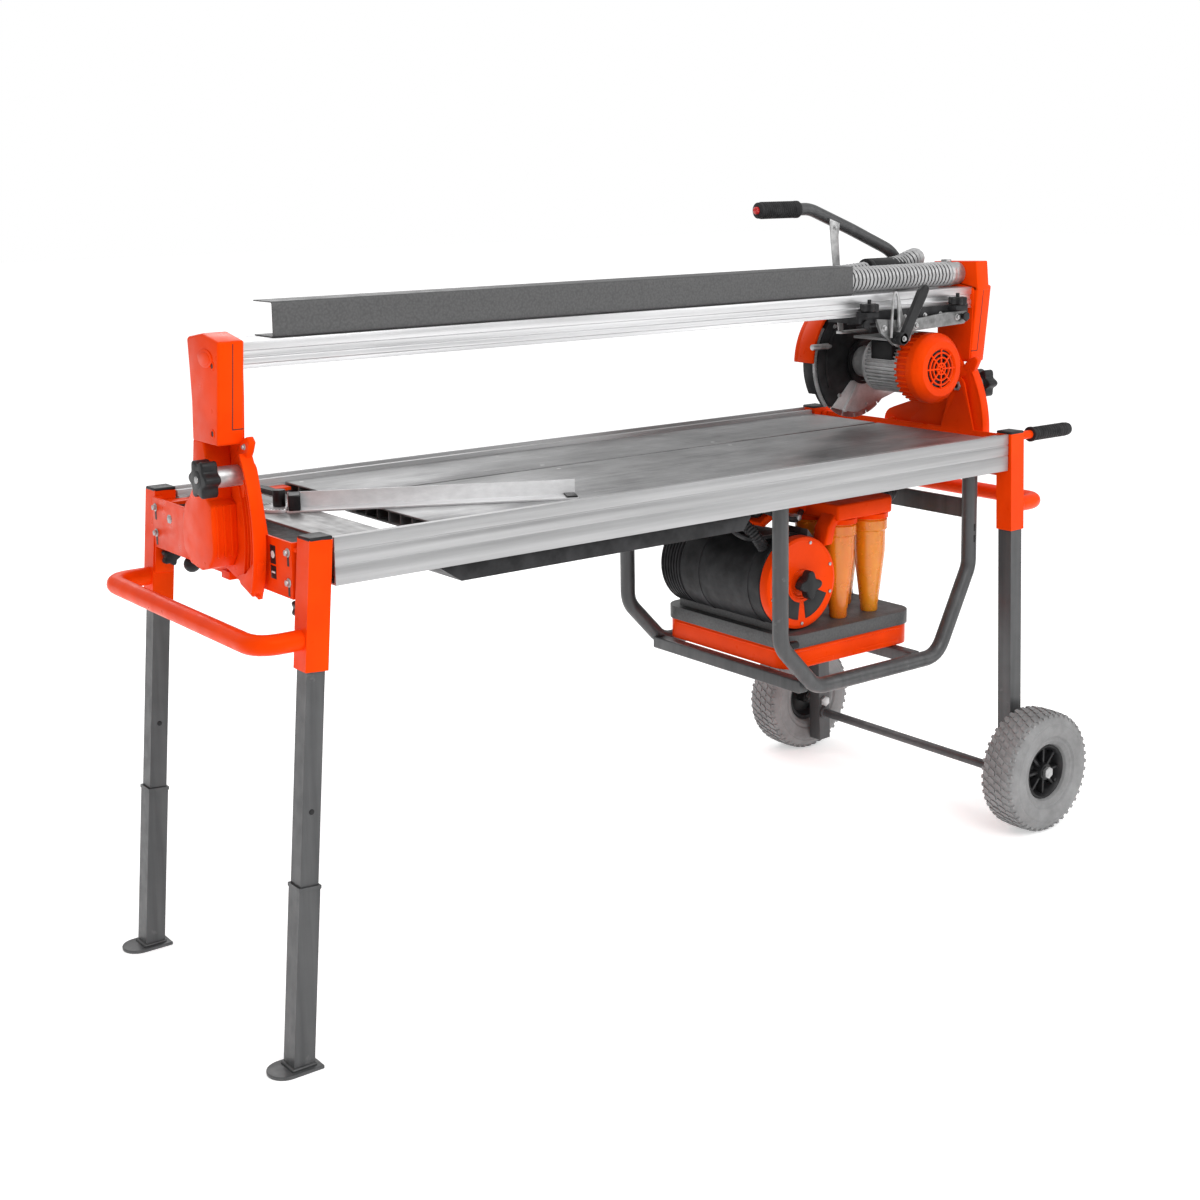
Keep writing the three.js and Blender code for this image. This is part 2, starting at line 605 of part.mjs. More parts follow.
// A channel under the rail with lips that hook over its front and back faces.
function addCarriage() {
  const f = rail.front - gap;
  const b = rail.front + rail.depth + gap;
  const under = rail.bottom - gap;
  const { left, right, wall, knobHole, knobZ, knobRadius } = carriage;
  const hook = outline([
    [f - wall, under - 14], [b + wall, under - 14], [b + wall, 1126], [b, 1126], [b, under], [f, under],
    [f, knobZ], [f - wall, knobZ],
  ]);
  const body = sweepX(hook, left, right);
  const frontLug = block([right - 63, right], [f - wall, f - 0.5], [1076, under - 13.9]);
  const backPlate = block([left + 55, right - 75], [b, b + wall], [1080, 1127]);
  const knobPads = knobPlaces.map(([, x]) => block([x - 16, x + 16], [f - 32, f - wall + 0.1], [knobZ - 10, knobZ]));
  const pin = bar("y", f - 30, f - wall + 0.1, [plungePivot.x, plungePivot.z], 5, 12);
  const pinHead = bar("y", f - 30, f - 25, [plungePivot.x, plungePivot.z], 10, 6);
  const screwHoles = knobPlaces.map(([, x]) => bar("z", 1090, 1130, [x, f - 21], knobHole + gap, 10));
  addPart("carriage", cut(join(body, frontLug, backPlate, pin, pinHead, ...knobPads), ...screwHoles), blackPaint);
  for (const [place, x] of knobPlaces) {
    const knob = join(
      bar("z", knobZ - 9, knobZ + 26, [x, f - 21], knobHole, 10),
      lobedKnob("z", knobZ + gap, knobZ + 18, [x, f - 21], knobRadius, 6),
    );
    addPart(`carriage_${place}_knob`, knob, blackPlastic);
  }
}

// The plunge arm is a steel plate in front of the carriage, hinged at its right end.
function addPlungeArm() {
  const y0 = plungeArm.y;
  const y1 = y0 + plungeArm.thick;
  const shelfBottom = plungeArm.shelf;
  const shelfTop = shelfBottom + 6;
  const shape = outline([
    [546, 1098], [640, 1090], [760, 1100], [820, 1100], [826, 1084], [812, 1073], [652, 1067],
    [646, shelfBottom], [600, 1040], [560, 1068],
  ]);
  const hole = bar("y", y0 - 5, y1 + 5, [plungePivot.x, plungePivot.z], 5 + gap, 12);
  const shelf = join(block([610, 646], [y1 - 0.01, -40], [shelfBottom, shelfTop]),
    block([645, 780], [-112, -40], [shelfBottom, shelfTop]));
  addPart("plunge_arm", cut(join(sweepY(shape, y0, y1), shelf), hole), brightSteel);
  // Lock lever on the face of the arm.
  const hub = plungeArm.leverHub;
  const leverY = y0 - gap;
  const lever = sweepY(outline([
    [hub[0] - 14, hub[1] - 4], [hub[0] + 10, hub[1] - 14], [hub[0] + 40, hub[1] + 40],
    [hub[0] + 72, hub[1] + 88], [hub[0] + 76, hub[1] + 104], [hub[0] + 62, hub[1] + 108],
    [hub[0] + 48, hub[1] + 96], [hub[0] + 20, hub[1] + 44],
  ]), leverY - 26, leverY - 12);
  const boss = bar("y", leverY - 26, leverY, hub, plungeArm.leverHubRadius, 18);
  addPart("plunge_lock_lever", join(lever, boss), blackPlastic);
}

function addMotor() {
  const at = [arbor.x, 0, arbor.z];
  const body = bar("y", motor.front, motor.back, [0, 0], motor.radius, 28);
  const saddle = block([-50, 50], [-108, -44], [40, plungeArm.shelf - gap - arbor.z]);
  const neck = bar("y", motor.back - 0.01, bladeGuard.front - gap, [0, 0], 34, 20);
  const shaftHole = bar("y", 0, 50, [0, 0], 9, 12);
  addPart("motor_housing", cut(join(body, saddle, neck), shaftHole), aluminium, at);
  const cover = turned([
    [0, motor.fanFront], [56, motor.fanFront], [motor.fanRadius, motor.fanFront + 16],
    [motor.fanRadius, motor.front - 18], [motor.radius + 2, motor.front - gap], [0, motor.front - gap],
  ], 24);
  addPart("fan_cover", cover, orange, at);
}

function addBlade() {
  const at = [arbor.x, 0, arbor.z];
  const disc = turned([
    [blade.bore, -blade.thick / 2], [blade.radius, -blade.thick / 2], [blade.radius, blade.thick / 2],
    [blade.bore, blade.thick / 2], [blade.bore, -blade.thick / 2],
  ], 36);
  addPart("saw_blade", disc, brightSteel, [arbor.x, slotY, arbor.z]);
  // Spindle with the two flanges that clamp the blade.
  const spindle = turned([
    [0, 4], [8.5, 4], [8.5, 40], [28, 40], [28, slotY - 1.5 - gap],
    [12.4, slotY - 1.5 - gap], [12.4, slotY + 1.5 + gap],
    [28, slotY + 1.5 + gap], [28, slotY + 9], [10, slotY + 9], [10, slotY + 18], [0, slotY + 18],
  ], 16);
  addPart("blade_spindle", spindle, brightSteel, at);
  // Guard: a shell over the upper half and the left of the blade, open below.
  const { radius, front, back, sheet } = bladeGuard;
  const shell = outline([...arc([0, 0], radius, -2, 222, 20), [-62, -104], [-20, -112], [30, -84], [136, -64]]);
  const hollow = outline([...arc([0, 0], radius - 4.5, -2, 222, 20), [-70, -150], [150, -150], [150, -20]]);
  const outer = sweepY(shell, front, back);
  const inner = sweepY(hollow, front + sheet, back - sheet);
  const neckHole = bar("y", front - 10, front + 10, [0, 0], 29, 24);
  // The back wall ends higher, so that it clears the table when the bridge is tilted.
  const tiltRoom = block([-160, 160], [back - 20, back + 5], [-160, -66]);
  const hoodShape = outline([...arc([0, 0], radius + 15, 95, 178, 8), [-90, 4], [-60, 60], [-10, 96]]);
  const hood = sweepY(hoodShape, back - 1, back + 14);
  addPart("blade_guard", join(cut(outer, inner, neckHole, tiltRoom), hood), blackPaint, at);
}

// Bent tube handle that rises behind the rail and reaches left to a rubber grip.
function addHeadHandle() {
  const { x, y, foot, bend, radius } = handle;
  const rise = bentRun([[x, y, foot], [x, y, bend], [640, y, 1275]], 34, 3).slice(0, -1);
  const reachOver = bentRun([[640, y, 1275], [520, y, grip.z], [386, y, grip.z]], 260, 4).slice(0, -1);
  const bentTube = tube([...rise, ...reachOver, new THREE.Vector3(grip.left + 12, y, grip.z)], radius, 12);
  const footPlate = block([674, 812], [-30, 16], [plungeArm.shelf + 6 + gap, 1066]);
  addPart("head_handle", join(bentTube, footPlate), darkSteel);
  const sleeveGrip = cut(
    bar("x", grip.left, grip.right, [y, grip.z], grip.radius, 18),
    bar("x", grip.left + 12 - gap, grip.right + 1, [y, grip.z], grip.bore, 14),
    bar("x", grip.left - 1, grip.left + 13, [y, grip.z], grip.button + gap, 14),
  );
  addPart("head_grip", sleeveGrip, blackPlastic);
  addPart("switch_button", bar("x", grip.left - 7, grip.left + 5, [y, grip.z], grip.button, 14), red);
}

// Clamp lever with a ball end under the left end of the table.
function addBallLever() {
  const [x, y] = tableClamp.hub;
  const ball = new THREE.SphereGeometry(15, 12, 8).translate(...tableClamp.ball);
  const arm = tube([new THREE.Vector3(x, y, 750), new THREE.Vector3(...tableClamp.ball)], 5, 8);
  const boss = join(bar("z", 738, 764, [x, y], 15, 14), bar("z", 763, 778, [x, y], 4, 10));
  addPart("table_clamp_lever", join(boss, arm, solid(ball)), blackPlastic);
}

// ---------------------------------------------------------------- mitre fence
function addFence() {
  const slide = block([-772, -672], [-265, 265], [tableTop - 5, tableTop]);
  const pin = bar("z", tableTop - 1, tableTop + 5, [fence.pivotX, fence.pivotY], 8, 14);
  addPart("fence_slide_plate", join(slide, pin), brightSteel);
  const spin = (shape) => shape.rotate([0, 0, fence.angle]).translate([fence.pivotX, fence.pivotY, 0]);
  const z0 = tableTop + gap;
  const angle = outline([
    [-fence.width, z0], [0, z0], [0, z0 + fence.height], [-fence.wall, z0 + fence.height],
    [-fence.wall, z0 + fence.wall], [-fence.width, z0 + fence.wall],
  ]);
  const barSolid = sweepX(angle, 14, 14 + fence.length);
  const protractor = cut(
    sweepZ(outline([...arc([0, 0], 38, 60, 300, 12), [40, -30], [40, 30]]), z0, z0 + 5),
    bar("z", z0 - 5, z0 + 20, [0, 0], 8 + gap, 14),
  );
  addPart("mitre_fence", spin(join(barSolid, cut(protractor, block([13.9, 60], [-60, 60], [z0 - 1, z0 + 9])),
    block([12, 15], [-fence.width, 0], [z0, z0 + fence.wall]))), aluminium);
  const lever = join(
    bar("z", z0 + 5 + gap, z0 + 34, [0, 0], 11, 14),
    sweepZ(outline([[-6, 4], [6, 4], [5, 60], [-3, 84], [-13, 82], [-13, 58]]), z0 + 22, z0 + 31),
  ).rotate([0, 0, 22]);
  addPart("fence_clamp_lever", spin(lever), blackPlastic);
}

// ---------------------------------------------------------------- extractor cradle
// Two rails that the extractor stands on and a flat tie bar, welded to the rear hoop.
function crossBars() {
  const along = [-hoop.y + hoop.radius + gap, hoop.y - 4];
  const rail = [hoop.bottom - 13, hoop.bottom + 13];
  return [block([276, 302], along, rail), block([600, 626], along, rail), block([751, 761], along, [668, 708])];
}

function addCradle() {
  const top = deckHeight - beam.height - gap;
  for (const [place, y] of [["front", -hoop.y], ["rear", hoop.y]]) {
    const corners = [
      [hoop.left, y, top], [hoop.left, y, 484], [hoop.left + 94, y, hoop.bottom],
      [hoop.right - 96, y, hoop.bottom], [hoop.right, y, 566], [hoop.right, y, top],
    ];
    const tubeShape = tube(bentRun(corners, 46, 3), hoop.radius, 12);
    const tab = (x) => block([x - 22, x + 22], [y - 14, y + 14], [top - 4, top]);
    const bare = join(tubeShape, tab(hoop.left), tab(hoop.right));
    const hoopSolid = place === "rear" ? join(bare, ...crossBars()) : bare;
    addPart(`cradle_${place}_hoop`, hoopSolid, darkSteel);
  }
}

// ---------------------------------------------------------------- dust extractor
function roundedBlock(x0, x1, y0, y1, radius, z0, z1) {
  const shape = new THREE.Shape();
  shape.moveTo(x0 + radius, y0);
  shape.lineTo(x1 - radius, y0);
  shape.absarc(x1 - radius, y0 + radius, radius, -Math.PI / 2, 0);
  shape.lineTo(x1, y1 - radius);
  shape.absarc(x1 - radius, y1 - radius, radius, 0, Math.PI / 2);
  shape.lineTo(x0 + radius, y1);
  shape.absarc(x0 + radius, y1 - radius, radius, Math.PI / 2, Math.PI);
  shape.lineTo(x0, y0 + radius);
  shape.absarc(x0 + radius, y0 + radius, radius, Math.PI, 1.5 * Math.PI);
  return sweepZ(shape, z0, z1);
}

function addExtractor() {
  const { left, right, front, back, bottom, top } = tray;
  const pan = cut(
    roundedBlock(left, right, front, back, 40, bottom, top),
    roundedBlock(left + 3, right - 3, front + 3, back - 3, 37, bottom + 3, top + 1),
  );
  addPart("dust_tray", pan, orange);
  const deck = roundedBlock(left - 4, right + 4, front - 4, back + 4, 44, top + gap, top + deckThick);
  const mountTop = drum.z - drum.radius + 14;
  const mount = block([drum.x - 50, drum.x + 50], [drum.front + 30, drum.back - 10], [top + 20, mountTop]);
  const hollow = bar("y", drum.front - 10, drum.back + 10, [drum.x, drum.z], drum.radius + gap, 28);
  addPart("extractor_base", cut(join(deck, mount), hollow), hammered);
  const drumShell = bar("y", drum.front + drum.cover, drum.back, [drum.x, drum.z], drum.radius, 28);
  addPart("filter_drum", drumShell, blackPaint);
  const cover = bar("y", drum.front, drum.front + drum.cover - gap, [drum.x, drum.z], drum.radius - 1, 28);
  const boltRoom = bar("y", drum.front - 1, drum.front + 12, [drum.x, drum.z], drum.bolt + gap, 16);
  addPart("filter_cover", cut(cover, boltRoom), orange);
  const knob = join(
    bar("y", drum.front - 22, drum.front + 11, [drum.x, drum.z], drum.bolt, 16),
    lobedKnob("y", drum.front - 30, drum.front - 8, [drum.x, drum.z], 30, 4),
  );
  addPart("filter_knob", knob, blackPlastic);
  addCyclones(top + deckThick + gap);
  const motorBody = join(
    bar("y", 0, extractorMotor.back, extractorMotor.at, extractorMotor.radius, 24),
    bar("y", -30, 0.01, extractorMotor.at, extractorMotor.fan, 16),
  );
  addPart("extractor_motor", motorBody, blackPaint);
  const inlet = bentRun([[627, -80, 706], [690, -80, 712], [706, 60, 740], [790, 150, 744], [836, 150, 744]], 40, 3);
  addPart("lower_hose", tube(inlet, inletRadius, 12), blackPaint);
}

// Four cyclone cones in two rows, joined at the top by the duct that feeds them.
function addCyclones(foot) {
  const { tip, mouth, ductBottom, ductTop } = cyclone;
  const top = ductBottom + 2;
  const profile = [[0, foot], [tip, foot], [tip + 2, foot + 19.7], [mouth - 1, 606], [mouth, top], [0, top]];
  const cones = cyclonePlaces.map(([x, y]) => turned(profile, 14).rotate([90, 0, 0]).translate([x, y, 0]));
  const duct = join(
    sweepZ(outline([[448, -158], [622, -158], [626, -10], [448, 0]]), ductBottom, ductTop),
    sweepY(outline([
      [318, ductBottom], [346, 708], [450, ductTop], [450, 700], [380, 694], [330, 680],
    ]), -60, 0),
  );
  addPart("cyclone_bank", join(duct, ...cones), amber);
}

addStand();
addWheels();
drillLegs();
addTable();
addEndPlates();
addBridge();
addHead();
addBallLever();
addFence();
addCradle();
addExtractor();

saw.position.x = -(lifting.tip + 6 - loop.reach - loop.radius) / 2;

export default saw;
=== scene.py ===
import math
import bpy
import bmesh
from mathutils import Matrix, Vector


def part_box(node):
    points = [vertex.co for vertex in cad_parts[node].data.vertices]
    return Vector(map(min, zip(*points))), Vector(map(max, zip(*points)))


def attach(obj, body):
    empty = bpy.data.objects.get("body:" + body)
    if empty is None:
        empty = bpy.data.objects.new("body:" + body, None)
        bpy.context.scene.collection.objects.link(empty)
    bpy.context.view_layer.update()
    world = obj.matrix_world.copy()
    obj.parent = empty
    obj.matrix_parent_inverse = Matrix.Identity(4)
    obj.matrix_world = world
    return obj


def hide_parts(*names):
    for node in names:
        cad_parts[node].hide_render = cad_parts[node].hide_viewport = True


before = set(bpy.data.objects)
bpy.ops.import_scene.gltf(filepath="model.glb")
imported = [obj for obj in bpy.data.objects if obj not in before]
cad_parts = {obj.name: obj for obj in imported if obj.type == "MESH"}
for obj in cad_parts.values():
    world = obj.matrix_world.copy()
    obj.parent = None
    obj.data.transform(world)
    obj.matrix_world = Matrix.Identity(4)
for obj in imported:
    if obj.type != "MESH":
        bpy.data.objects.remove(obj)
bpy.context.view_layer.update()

# Sizes are in millimetres, measured from the middle of the table frame at floor level.
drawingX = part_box("front_side_beam")[0][0] + 0.790


def place(x, y, z):
    return Vector((drawingX + x / 1000, y / 1000, z / 1000))


# Camera, floor and light
cameraSettings = {"x": -2050.1, "y": -2653.9, "z": 1389.9, "heading": 37.124, "tilt": -8.854, "roll": -0.905,
                  "lens": 52.2, "sensor": 36, "near": 0.05, "shiftX": 0.0003, "shiftY": -0.1250}


def makeCamera():
    c = cameraSettings
    bpy.ops.object.camera_add()
    camera = bpy.context.object
    camera.name = "view_camera"
    camera.data.sensor_width = c["sensor"]
    camera.data.lens = c["lens"]
    camera.data.shift_x = c["shiftX"]
    camera.data.shift_y = c["shiftY"]
    camera.data.clip_start = c["near"]
    turn = (Matrix.Rotation(math.radians(-c["heading"]), 4, "Z")
            @ Matrix.Rotation(math.radians(90 + c["tilt"]), 4, "X")
            @ Matrix.Rotation(math.radians(c["roll"]), 4, "Z"))
    spot = place(c["x"], c["y"], c["z"])
    camera.matrix_world = Matrix.Translation(spot) @ turn
    bpy.context.scene.camera = camera


lightSettings = {
    "key": {"at": (-0.5, -3.4, 3.2), "size": 2.2, "watts": 64},
    "fill": {"at": (2.8, -2.6, 2.2), "size": 2.0, "watts": 20},
    "rear": {"at": (0.6, 3.2, 3.0), "size": 2.6, "watts": 34},
    "front": {"at": (-3.4, -0.4, 1.2), "size": 1.2, "watts": 2},
}


floorSettings = {"size": 60, "tone": 0.93, "roughness": 0.9, "glow": 0.42, "specular": 0.1}


def makeFloor():
    f = floorSettings
    bpy.ops.mesh.primitive_plane_add(size=f["size"], location=(0, 0, 0))
    floor = bpy.context.object
    floor.name = "studio_floor"
    paper = newMaterial("studio_paper")
    paper["shader"].inputs["Base Color"].default_value = (f["tone"], f["tone"], f["tone"], 1)
    paper["shader"].inputs["Roughness"].default_value = f["roughness"]
    paper["shader"].inputs["Emission Color"].default_value = (1, 1, 1, 1)
    paper["shader"].inputs["Emission Strength"].default_value = f["glow"]
    paper["shader"].inputs["Specular IOR Level"].default_value = f["specular"]
    floor.data.materials.append(paper["material"])


aimHeight = 0.8  # metres above the floor, where every light points


def makeLights():
    for name, light in lightSettings.items():
        bpy.ops.object.light_add(type="AREA", location=light["at"])
        lamp = bpy.context.object
        lamp.name = "studio_" + name
        lamp.data.energy = light["watts"]
        lamp.data.size = light["size"]
        aim = Vector((0, 0, aimHeight)) - Vector(light["at"])
        lamp.rotation_euler = aim.to_track_quat("-Z", "Y").to_euler()


roomTones = ((0.0, 0.3), (0.5, 0.2), (0.62, 0.5), (1.0, 0.75))  # from straight down to straight up


# White to the camera, and a room with a bright ceiling and darker walls to everything else
def makeWorld():
    world = bpy.data.worlds.new("studio_world")
    world.use_nodes = True
    nodes, links = world.node_tree.nodes, world.node_tree.links
    coords = nodes.new("ShaderNodeTexCoord")
    split = nodes.new("ShaderNodeSeparateXYZ")
    ramp = nodes.new("ShaderNodeValToRGB")
    for spot, tone in roomTones:
        stop = ramp.color_ramp.elements[0] if spot == 0.0 else ramp.color_ramp.elements.new(spot)
        stop.position = spot
        stop.color = (tone, tone, tone, 1)
    rays = nodes.new("ShaderNodeLightPath")
    mix = nodes.new("ShaderNodeMix")
    mix.data_type = "RGBA"
    mix.inputs["B"].default_value = (1, 1, 1, 1)
    level = nodes.new("ShaderNodeMapRange")
    level.inputs["From Min"].default_value = -1
    links.new(coords.outputs["Generated"], split.inputs["Vector"])
    links.new(split.outputs["Z"], level.inputs["Value"])
    links.new(level.outputs["Result"], ramp.inputs["Fac"])
    links.new(ramp.outputs["Color"], mix.inputs["A"])
    links.new(rays.outputs["Is Camera Ray"], mix.inputs["Factor"])
    links.new(mix.outputs["Result"], nodes["Background"].inputs["Color"])
    nodes["Background"].inputs["Strength"].default_value = 1.0
    bpy.context.scene.world = world
    bpy.context.scene.view_settings.view_transform = "Standard"


# Materials
def newMaterial(name):
    material = bpy.data.materials.new(name)
    material.use_nodes = True
    nodes = material.node_tree.nodes
    return {"material": material, "nodes": nodes, "links": material.node_tree.links,
            "shader": nodes["Principled BSDF"]}


# A noise pattern on the piece's own coordinates, stretched along any axis
def addNoise(kit, scale, detail=4, stretch=(1, 1, 1), roughness=0.55, turn=(0, 0, 0)):
    coords = kit["nodes"].new("ShaderNodeTexCoord")
    mapping = kit["nodes"].new("ShaderNodeMapping")
    mapping.inputs["Scale"].default_value = stretch
    mapping.inputs["Rotation"].default_value = turn
    noise = kit["nodes"].new("ShaderNodeTexNoise")
    noise.inputs["Scale"].default_value = scale
    noise.inputs["Detail"].default_value = detail
    noise.inputs["Roughness"].default_value = roughness
    kit["links"].new(coords.outputs["Object"], mapping.inputs["Vector"])
    kit["links"].new(mapping.outputs["Vector"], noise.inputs["Vector"])
    return noise.outputs["Fac"]


def addCells(kit, scale):
    coords = kit["nodes"].new("ShaderNodeTexCoord")
    cells = kit["nodes"].new("ShaderNodeTexVoronoi")
    cells.inputs["Scale"].default_value = scale
    cells.feature = "SMOOTH_F1"
    kit["links"].new(coords.outputs["Object"], cells.inputs["Vector"])
    return cells.outputs["Distance"]


# Colours between two tones, following a pattern
def addTones(kit, pattern, low, high, start=0.35, end=0.65):
    ramp = kit["nodes"].new("ShaderNodeValToRGB")
    ramp.color_ramp.elements[0].position = start
    ramp.color_ramp.elements[1].position = end
    ramp.color_ramp.elements[0].color = (*low, 1)
    ramp.color_ramp.elements[1].color = (*high, 1)
    kit["links"].new(pattern, ramp.inputs["Fac"])
    return ramp.outputs["Color"]


def mixColours(kit, factor, first, second):
    mix = kit["nodes"].new("ShaderNodeMix")
    mix.data_type = "RGBA"
    kit["links"].new(factor, mix.inputs["Factor"])
    kit["links"].new(first, mix.inputs["A"])
    kit["links"].new(second, mix.inputs["B"])
    return mix.outputs["Result"]


def addRange(kit, pattern, low, high, start=0.3, end=0.7):
    span = kit["nodes"].new("ShaderNodeMapRange")
    span.inputs["From Min"].default_value = start
    span.inputs["From Max"].default_value = end
    span.inputs["To Min"].default_value = low
    span.inputs["To Max"].default_value = high
    kit["links"].new(pattern, span.inputs["Value"])
    return span.outputs["Result"]


def addBump(kit, pattern, strength, distance):
    bump = kit["nodes"].new("ShaderNodeBump")
    bump.inputs["Strength"].default_value = strength
    bump.inputs["Distance"].default_value = distance
    kit["links"].new(pattern, bump.inputs["Height"])
    kit["links"].new(bump.outputs["Normal"], kit["shader"].inputs["Normal"])


def setShader(kit, colour, roughness, metallic=0.0, coat=0.0):
    shader = kit["shader"]
    kit["links"].new(colour, shader.inputs["Base Color"])
    kit["links"].new(roughness, shader.inputs["Roughness"])
    shader.inputs["Metallic"].default_value = metallic
    shader.inputs["Coat Weight"].default_value = coat
    shader.inputs["Coat Roughness"].default_value = 0.15


# Gloss enamel with slight orange peel and dull handling marks
def orangeEnamel():
    kit = newMaterial("orange_enamel")
    broad = addNoise(kit, 9)
    setShader(kit, addTones(kit, broad, (0.82, 0.045, 0.0015), (0.94, 0.058, 0.002)),
              addRange(kit, addNoise(kit, 34, 6), 0.26, 0.46))
    kit["shader"].inputs["Specular IOR Level"].default_value = 0.22
    kit["shader"].inputs["Specular Tint"].default_value = (1, 0.3, 0.05, 1)
    addBump(kit, addNoise(kit, 420, 2), 0.06, 0.0006)
    return kit["material"]


# Dark grey tube paint, drawn into faint streaks along the height of the legs
def greyPaint():
    kit = newMaterial("grey_tube_paint")
    streaks = addNoise(kit, 60, 5, (1, 1, 0.06))
    tone = addTones(kit, streaks, (0.055, 0.056, 0.058), (0.085, 0.086, 0.088), 0.3, 0.72)
    scuffs = addTones(kit, addNoise(kit, 22, 8), (0, 0, 0), (1, 1, 1), 0.66, 0.74)
    light = addTones(kit, addNoise(kit, 140), (0.1, 0.1, 0.1), (0.16, 0.16, 0.16))
    setShader(kit, mixColours(kit, scuffs, tone, light), addRange(kit, addNoise(kit, 40, 6), 0.32, 0.52),
              0.25, 0.1)
    addBump(kit, addNoise(kit, 300, 3), 0.1, 0.0006)
    return kit["material"]


# Hammertone paint: small rounded pits that catch the light
def hammeredPaint():
    kit = newMaterial("hammered_paint")
    cells = addCells(kit, 260)
    tone = addTones(kit, cells, (0.105, 0.105, 0.106), (0.078, 0.078, 0.079), 0.15, 0.7)
    setShader(kit, tone, addRange(kit, addNoise(kit, 30, 5), 0.38, 0.55), 0.35)
    addBump(kit, cells, 0.4, 0.0009)
    return kit["material"]


def blackPaint():
    kit = newMaterial("black_satin_paint")
    tone = addTones(kit, addNoise(kit, 26, 6), (0.011, 0.011, 0.012), (0.03, 0.03, 0.032))
    setShader(kit, tone, addRange(kit, addNoise(kit, 60, 5), 0.35, 0.55), 0.1)
    kit["shader"].inputs["Specular IOR Level"].default_value = 0.22
    addBump(kit, addNoise(kit, 500, 2), 0.12, 0.0005)
    return kit["material"]


def blackPlastic():
    kit = newMaterial("black_moulded_plastic")
    tone = addTones(kit, addNoise(kit, 40), (0.010, 0.010, 0.011), (0.022, 0.022, 0.023))
    setShader(kit, tone, addRange(kit, addNoise(kit, 80, 4), 0.3, 0.46))
    kit["shader"].inputs["Specular IOR Level"].default_value = 0.25
    addBump(kit, addNoise(kit, 900, 2), 0.2, 0.0004)
    return kit["material"]


def gripRubber():
    kit = newMaterial("grip_rubber")
    tone = addTones(kit, addNoise(kit, 50), (0.013, 0.013, 0.014), (0.032, 0.032, 0.033))
    setShader(kit, tone, addRange(kit, addNoise(kit, 70, 4), 0.55, 0.75))
    kit["shader"].inputs["Specular IOR Level"].default_value = 0.25
    addBump(kit, addNoise(kit, 700, 2), 0.25, 0.0005)
    return kit["material"]


# Worn table top: grain along the table, cloudy patches and scratches both ways
def tableMetal():
    kit = newMaterial("worn_table_aluminium")
    grain = addTones(kit, addNoise(kit, 26, 9, (0.12, 6, 1), 0.7), (0.14, 0.14, 0.143), (0.36, 0.36, 0.364),
                     0.3, 0.7)
    clouds = addTones(kit, addNoise(kit, 5, 7, (1, 1.8, 1), 0.68), (0.11, 0.11, 0.112), (0.44, 0.44, 0.445),
                      0.34, 0.68)
    halfway = addRange(kit, addNoise(kit, 3, 4), 0.25, 0.75, 0.25, 0.75)
    worn = mixColours(kit, halfway, grain, clouds)
    scratchMask = addTones(kit, addNoise(kit, 30, 5, (0.35, 9, 1), 0.6, (0, 0, 0.5)), (0, 0, 0), (1, 1, 1),
                           0.66, 0.7)
    bright = addTones(kit, addNoise(kit, 90), (0.42, 0.42, 0.425), (0.6, 0.6, 0.605))
    setShader(kit, mixColours(kit, scratchMask, worn, bright),
              addRange(kit, addNoise(kit, 7, 6, (1, 2, 1)), 0.3, 0.52), 0.75)
    addBump(kit, addNoise(kit, 60, 8, (0.1, 5, 1), 0.7), 0.15, 0.0006)
    return kit["material"]


# Extruded aluminium with fine die lines along its length
def railMetal(name="rail_aluminium", low=0.55, high=0.78, metallic=0.85):
    kit = newMaterial(name)
    lines = addNoise(kit, 90, 6, (0.02, 1, 1), 0.6)
    tone = addTones(kit, lines, (low, low, low * 1.01), (high, high, high * 1.01), 0.3, 0.7)
    setShader(kit, tone, addRange(kit, addNoise(kit, 14, 5, (0.3, 1, 1)), 0.28, 0.42), metallic)
    addBump(kit, lines, 0.06, 0.0004)
    return kit["material"]


def brightSteel(name="bright_steel", low=0.36, high=0.56):
    kit = newMaterial(name)
    tone = addTones(kit, addNoise(kit, 60, 6, (1, 0.2, 1)), (low, low, low), (high, high, high))
    setShader(kit, tone, addRange(kit, addNoise(kit, 45, 5), 0.28, 0.45), 0.75)
    addBump(kit, addNoise(kit, 300, 3), 0.05, 0.0004)
    return kit["material"]


def castMetal():
    kit = newMaterial("cast_motor_aluminium")
    tone = addTones(kit, addNoise(kit, 40, 7), (0.5, 0.5, 0.503), (0.68, 0.68, 0.683))
    setShader(kit, tone, addRange(kit, addNoise(kit, 50, 5), 0.34, 0.5), 0.5)
    addBump(kit, addNoise(kit, 350, 3), 0.2, 0.0006)
    return kit["material"]


def tyreRubber():
    kit = newMaterial("grey_tyre_rubber")
    dust = addTones(kit, addNoise(kit, 16, 8, (1, 1, 1), 0.65), (0.2, 0.2, 0.201), (0.29, 0.29, 0.292))
    setShader(kit, dust, addRange(kit, addNoise(kit, 60, 5), 0.72, 0.9))
    addBump(kit, addNoise(kit, 380, 3), 0.25, 0.0006)
    return kit["material"]


def greyHose():
    kit = newMaterial("grey_hose")
    tone = addTones(kit, addNoise(kit, 70, 5), (0.4, 0.4, 0.403), (0.48, 0.48, 0.484))
    setShader(kit, tone, addRange(kit, addNoise(kit, 40, 5), 0.3, 0.45), 0.15, 0.1)
    addBump(kit, addNoise(kit, 500, 2), 0.1, 0.0004)
    return kit["material"]


# Black hose rubber; the same material also paints the shade in the grooves of the grey hoses
def blackHoseAndGrooveShade():
    kit = newMaterial("black_hose_and_groove_shade")
    tone = addTones(kit, addNoise(kit, 60, 5), (0.012, 0.012, 0.013), (0.035, 0.035, 0.037))
    setShader(kit, tone, addRange(kit, addNoise(kit, 40, 5), 0.28, 0.42))
    kit["shader"].inputs["Specular IOR Level"].default_value = 0.3
    return kit["material"]


